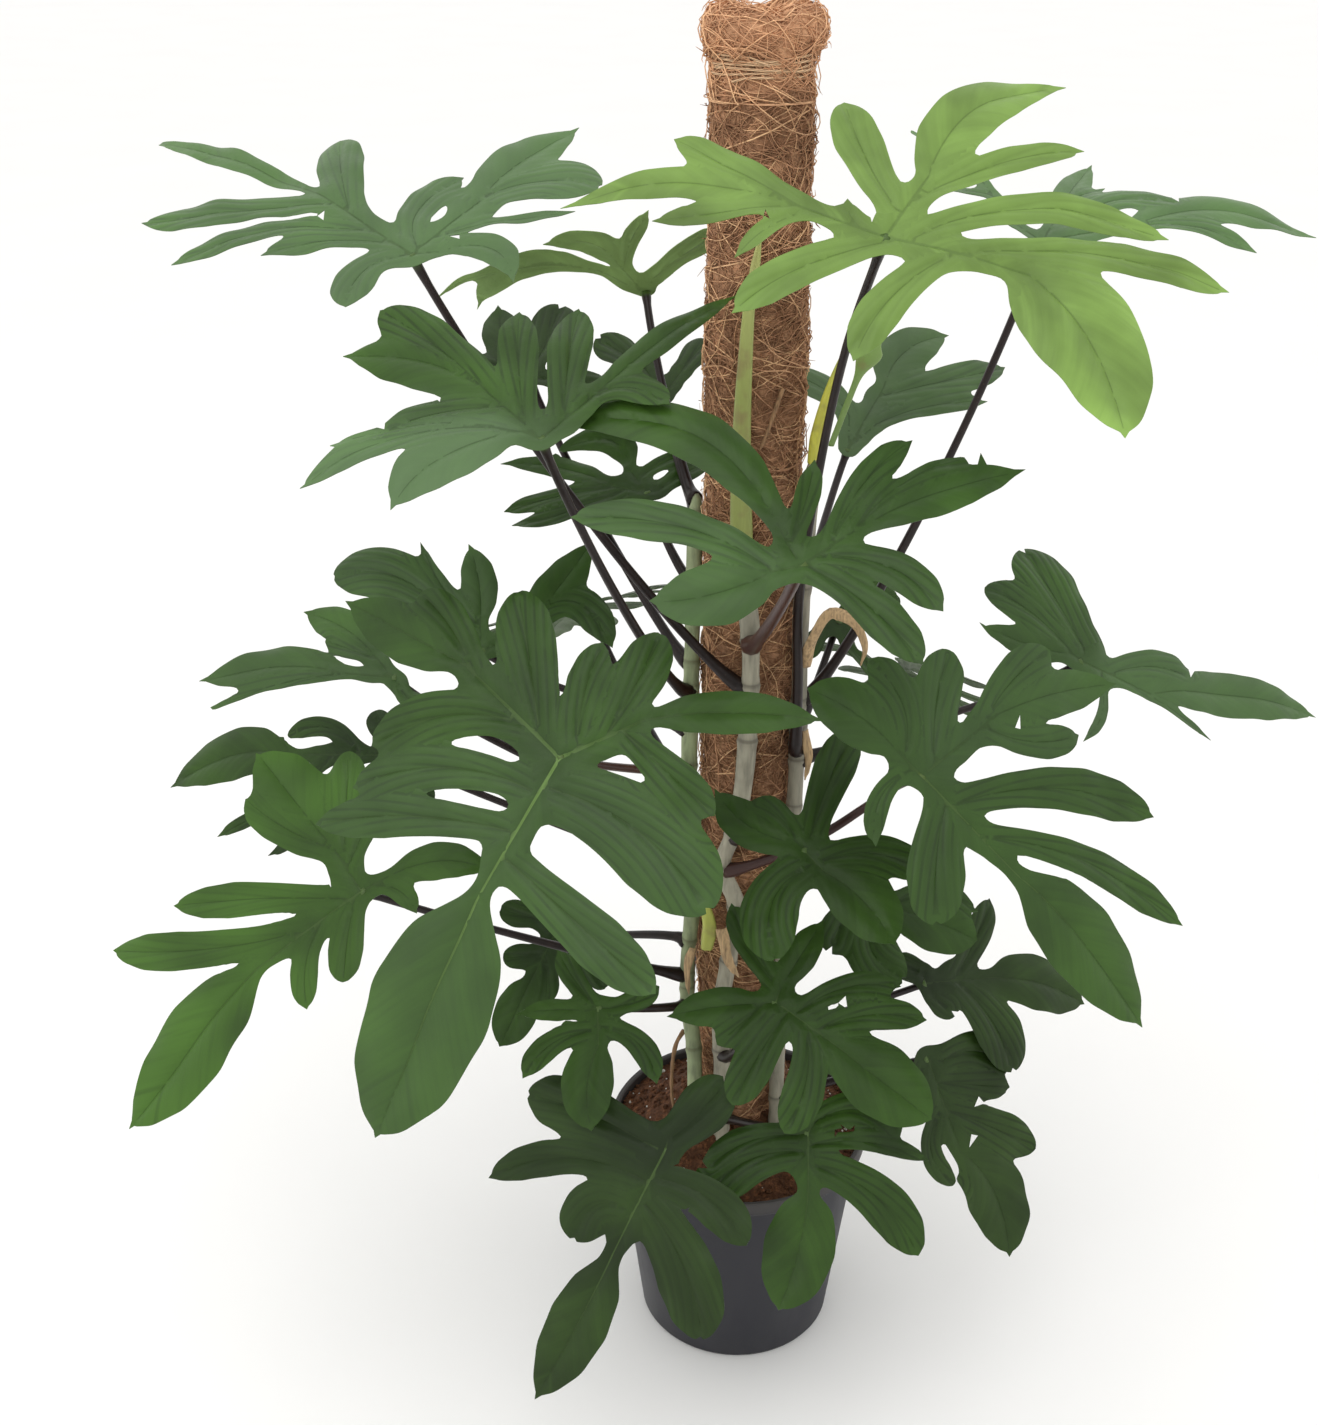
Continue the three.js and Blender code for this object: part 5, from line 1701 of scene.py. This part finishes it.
SHEATHS = {
    "dry_sheath_1": (6, [
        (43, -34, 700), (50, -48, 732), (62, -59, 757), (78, -63, 752), (88, -61, 728), (86, -58, 712),
    ]),
    "dry_sheath_2": (4, [(46, -38, 644), (49, -40, 620), (47, -39, 598)]),
    "dry_sheath_3": (4, [(-44, -43, 434), (-50, -40, 412), (-48, -40, 383)]),
    "dry_sheath_4": (5.5, [(-21, -59, 464), (-17, -64, 440), (-5, -62, 416)]),
}
ROOTS = {
    "aerial_root_1": (1.7, [(19, -36, 932), (13, -40, 915), (8, -42, 900), (2, -42, 884)]),
    "aerial_root_2": (2.1, [(-52, -28, 335), (-59, -31, 322), (-63, -32, 282), (-61, -34, 247)]),
}
# How many rings of points each kind of stem has, and how many points a ring
VINE_ROWS = 420
VINE_SIDES = 16
SHOOT_ROWS = 60
SHOOT_SIDES = 20
SPEAR_ROWS = 48
SPEAR_SIDES = 16
HUSK_ROWS = 40
HUSK_COLUMNS = 7
ROOT_ROWS = 60
ROOT_SIDES = 8
# The joints of a vine: half the height of the swelling and of the scar above it, in mm
SWELLING = 4.5
SCAR_HEIGHT = 1.6
SCAR_ABOVE = 2
# How deep the seam of a fresh sheath is, and how thick a dried one, in metres
SEAM = 0.0007
HUSK_THICKNESS = 0.0006


def make_vines():
    """The three climbing stems, ringed and a little swollen at each joint."""
    s = settings("stem_settings")
    skins = {
        "front": stem_skin("bark_dry_grey", s.bark, linear(SCAR), 0.75),
        "right": stem_skin("bark_dry_tan", times(s.bark, 0.8), linear(SCAR), 0.75),
        "left": stem_skin("bark_green_grey", linear(YOUNG_BARK), linear(YOUNG_SCAR), 0.7),
    }
    for name, vine in VINES.items():
        joints = [plan["node"] for plan in LEAVES if plan["vine"] == name] + VINE_SCARS[name]
        line = evenly(smooth_line(vine["route"]), VINE_ROWS, MM)
        heights = np.array([p.z / MM for p in line])
        swell = np.minimum(1, sum(np.exp(-(((heights - z) / SWELLING) ** 2)) for z in joints))
        scar = np.minimum(1, sum(np.exp(-(((heights - z - SCAR_ABOVE) / SCAR_HEIGHT) ** 2)) for z in joints))
        wobble = 0.05 * np.sin(heights / 23) + 0.03 * np.sin(heights / 9 + 1)
        top = np.clip((heights[-1] - heights) / 14, 0.05, 1) ** 0.5
        radii = vine["radius"] * MM * (0.93 + wobble + 0.16 * swell - 0.05 * scar) * top
        points, faces = bar_mesh(line, lambda t: radii[round(t * (VINE_ROWS - 1))], VINE_SIDES)
        piece = new_piece(f"stem_{name}", points, faces, [skins[name]])
        set_values(piece, "joint", np.repeat(np.maximum(0.25 * swell, scar), VINE_SIDES))
        place_piece(piece, [f"vine_{name}"])


def make_shoots():
    """The fresh shoots: flattened sheaths that hold the next leaves, and one leaf still rolled."""
    for name, shoot in SHOOTS.items():
        skin = shoot_skin(f"{name}_sheath_fresh", linear(shoot["shade"]), linear(shoot["tip"]))
        line = evenly(smooth_line(shoot["route"]), SHOOT_ROWS, MM)
        radius = shoot["radius"] * MM

        def reach(t, radius=radius):
            return radius * min(1, 0.72 + 1.6 * t) * (1 - 0.74 * t**1.3) * min(1, 9 * (1 - t) + 0.1)

        points, faces = bar_mesh(line, reach, SHOOT_SIDES, shoot["face"], shoot["thin"])
        sink_seam(points, line)
        piece = new_piece(f"{name}_sheath", points, faces, [skin])
        set_along(piece, SHOOT_ROWS, SHOOT_SIDES)
        place_piece(piece, [name])
    make_rolled_leaf()


def sink_seam(points, line):
    """Sinks the seam where a sheath's edges meet, down the side that faces the front."""
    for i, centre in enumerate(line):
        for j in (0, 1):
            k = i * SHOOT_SIDES + j
            points[k] = points[k] + (centre - points[k]).normalized() * SEAM


def make_rolled_leaf():
    """The young leaf that is still rolled: a slim spear that opens into a small blade at its tip."""
    s = settings("leaf_settings")

    def reach(t):
        return (2.6 + hump(t, 6.4, 0.8, 0.13)) * MM * min(1, 6 * (1 - t) + 0.12)

    line = evenly(smooth_line(ROLLED_LEAF), SPEAR_ROWS, MM)
    points, faces = bar_mesh(line, reach, SPEAR_SIDES, (0.35, -1, 0.5), 0.28)
    skin = shoot_skin("leaf_rolled_fresh", s.young, times(s.young, 1.25))
    piece = new_piece("leaf_spear", points, faces, [skin])
    set_along(piece, SPEAR_ROWS, SPEAR_SIDES)
    place_piece(piece, ["rolled_leaf"])


def make_sheaths():
    """The dried sheaths: thin papery strips that curl along their length."""
    skin = husk_skin("sheath_papery_dry", settings("stem_settings").sheath)
    for k, (name, (width, route)) in enumerate(SHEATHS.items()):
        line = evenly(smooth_line(route), HUSK_ROWS)
        points = []
        for i, centre in enumerate(line):
            t = i / (HUSK_ROWS - 1)
            along = way_along(line, i)
            face = square_to(Vector((math.sin(5 * t + k) * 0.7, -1, 0.3)), along)
            side = along.cross(face)
            half = width * (0.55 + 0.45 * math.sin(math.pi * min(1, 0.25 + t))) * min(1, 5 * (1 - t) + 0.1)
            for j in range(HUSK_COLUMNS):
                x = 2 * j / (HUSK_COLUMNS - 1) - 1
                cup = half * 0.55 * (x * x - 0.4)
                ragged = 0.2 * math.sin(17 * t + 3 * j + k)
                points.append((centre + side * (half * x) - face * (cup + ragged)) * MM)
        piece = new_piece(f"husk_{k + 1}", points, net_faces(HUSK_ROWS, HUSK_COLUMNS, closed=False), [skin])
        apply_modifier(piece, "SOLIDIFY", thickness=HUSK_THICKNESS, offset=0)
        place_piece(piece, [name])


def make_roots():
    """The aerial roots: thin, brown and a little knobbly."""
    skin = husk_skin("root_corky", linear(ROOT_BARK))
    for k, (name, (radius, route)) in enumerate(ROOTS.items()):
        def reach(t, radius=radius, k=k):
            return radius * MM * (1 - 0.35 * t + 0.1 * math.sin(31 * t + k)) * min(1, 8 * (1 - t) + 0.15)

        points, faces = bar_mesh(evenly(smooth_line(route), ROOT_ROWS, MM), reach, ROOT_SIDES)
        place_piece(new_piece(f"root_{k + 1}", points, faces, [skin]), [name])


def make_leaves():
    """The leaves: a blade and a petiole each."""
    s = settings("leaf_settings")
    skins = {}
    for finish, shade in {"young_leaf": s.young, "leaf": s.grown, "old_leaf": s.old}.items():
        pleat = YOUNG_PLEAT if finish == "young_leaf" else PLEAT
        above = leaf_skin(f"{finish}_blade_satin", shade, pleat)
        below = leaf_skin(f"{finish}_blade_underside", shade, pleat, under=True)
        skins[finish] = [above, below]
    dark = petiole_skin("petiole_waxy_dark", settings("stem_settings").petiole)
    for index, plan in enumerate(LEAVES, 1):
        node = f"leaf_{index:02d}"
        place_piece(blade(index, plan, skins[plan["finish"]]), [node])
        place_piece(petiole(index, plan, dark), [node])


# Stage

FLOOR_SIZE = 60
CLIP_END = 200
LIGHT_AIM = Vector((0, 0, 0.6))
KEY_SPOT = (-0.5, -1.2, 3.0)
KEY_SIZE = 2.4
FILL_SPOT = (-2.6, -2.2, 1.6)
FILL_SIZE = 2.0


def make_stage():
    """The studio: a plain pale floor, white surroundings, a large soft light above and the photo's view."""
    s = settings("stage_settings")
    bpy.ops.object.select_all(action="DESELECT")
    bpy.ops.mesh.primitive_plane_add(size=FLOOR_SIZE, location=(0, 0, 0))
    floor = bpy.context.object
    floor.name = "floor"
    floor.data.materials.append(floor_skin("studio_floor_matt", s.floor))
    world = bpy.data.worlds.new("white_room")
    world.use_nodes = True
    background = world.node_tree.nodes["Background"]
    background.inputs["Color"].default_value = (1, 1, 1, 1)
    background.inputs["Strength"].default_value = s.room_light
    scene = bpy.context.scene
    scene.world = world
    add_light("key", KEY_SPOT, KEY_SIZE, s.key_power)
    add_light("fill", FILL_SPOT, FILL_SIZE, s.fill_power)
    data = bpy.data.cameras.new("camera")
    data.sensor_width = SENSOR
    data.lens = SENSOR * FOCAL_PIXELS / PHOTO_HEIGHT
    data.clip_end = CLIP_END
    camera = in_scene("camera", data)
    camera.location = CAMERA_SPOT
    camera.rotation_euler = (math.pi / 2 - CAMERA_FALL, 0, 0)
    scene.camera = camera
    scene.view_settings.view_transform = "Standard"


def add_light(name, spot, size, power):
    """A square soft light that faces the plant."""
    data = bpy.data.lights.new(name, "AREA")
    data.size = size
    data.energy = power
    light = in_scene(name, data)
    light.location = spot
    light.rotation_euler = (LIGHT_AIM - Vector(spot)).to_track_quat("-Z", "Y").to_euler()


class PLANT_OT_pot(bpy.types.Operator):
    """Adds the pot"""

    bl_idname = "plant.pot"
    bl_label = "Pot"

    def execute(self, context):
        make_pot()
        return {"FINISHED"}


class PLANT_OT_soil(bpy.types.Operator):
    """Adds the soil, its crumbs and its white grains"""

    bl_idname = "plant.soil"
    bl_label = "Soil"

    def execute(self, context):
        make_soil()
        return {"FINISHED"}


class PLANT_OT_pole(bpy.types.Operator):
    """Adds the coir pole, its fibres and its strings, and finishes its stake"""

    bl_idname = "plant.pole"
    bl_label = "Coir pole"

    def execute(self, context):
        make_pole()
        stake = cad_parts["pole_stake"]
        stake.data.materials.clear()
        stake.data.materials.append(stake_skin("stake_split_wood", linear(STAKE_WOOD)))
        return {"FINISHED"}


class PLANT_OT_twine(bpy.types.Operator):
    """Adds the twine round the pole's neck"""

    bl_idname = "plant.twine"
    bl_label = "Neck twine"

    def execute(self, context):
        make_twine()
        return {"FINISHED"}


class PLANT_OT_vines(bpy.types.Operator):
    """Adds the climbing stems"""

    bl_idname = "plant.vines"
    bl_label = "Vines"

    def execute(self, context):
        make_vines()
        return {"FINISHED"}


class PLANT_OT_shoots(bpy.types.Operator):
    """Adds the fresh shoots and the rolled leaf"""

    bl_idname = "plant.shoots"
    bl_label = "Shoots"

    def execute(self, context):
        make_shoots()
        return {"FINISHED"}


class PLANT_OT_sheaths(bpy.types.Operator):
    """Adds the dried sheaths"""

    bl_idname = "plant.sheaths"
    bl_label = "Dried sheaths"

    def execute(self, context):
        make_sheaths()
        return {"FINISHED"}


class PLANT_OT_roots(bpy.types.Operator):
    """Adds the aerial roots"""

    bl_idname = "plant.roots"
    bl_label = "Aerial roots"

    def execute(self, context):
        make_roots()
        return {"FINISHED"}


class PLANT_OT_leaves(bpy.types.Operator):
    """Adds the leaves, each a blade and a petiole"""

    bl_idname = "plant.leaves"
    bl_label = "Leaves"

    def execute(self, context):
        make_leaves()
        return {"FINISHED"}


class PLANT_OT_stage(bpy.types.Operator):
    """Adds the floor, the lights and the camera"""

    bl_idname = "plant.stage"
    bl_label = "Stage"

    def execute(self, context):
        make_stage()
        return {"FINISHED"}


OPERATORS = [
    PLANT_OT_stage, PLANT_OT_pot, PLANT_OT_soil, PLANT_OT_pole, PLANT_OT_twine, PLANT_OT_vines,
    PLANT_OT_shoots, PLANT_OT_sheaths, PLANT_OT_roots, PLANT_OT_leaves,
]


class PLANT_PT_panel(bpy.types.Panel):
    bl_idname = "PLANT_PT_panel"
    bl_label = "Potted plant"
    bl_space_type = "VIEW_3D"
    bl_region_type = "UI"
    bl_category = "Plant"

    def draw(self, context):
        for operator in OPERATORS:
            self.layout.operator(operator.bl_idname)
        for name in SETTINGS:
            group = getattr(context.scene, name)
            box = self.layout.box()
            for prop in group.bl_rna.properties:
                if prop.identifier not in {"rna_type", "name"}:
                    box.prop(group, prop.identifier)


def register():
    for made in [*SETTINGS.values(), *OPERATORS, PLANT_PT_panel]:
        bpy.utils.register_class(made)
    for name, group in SETTINGS.items():
        setattr(bpy.types.Scene, name, bpy.props.PointerProperty(type=group))


def unregister():
    for name in SETTINGS:
        delattr(bpy.types.Scene, name)
    for made in [PLANT_PT_panel, *reversed(OPERATORS), *reversed(SETTINGS.values())]:
        bpy.utils.unregister_class(made)


def main():
    register()
    for operator in OPERATORS:
        group, name = operator.bl_idname.split(".")
        getattr(getattr(bpy.ops, group), name)()


if __name__ == "__main__":
    main()
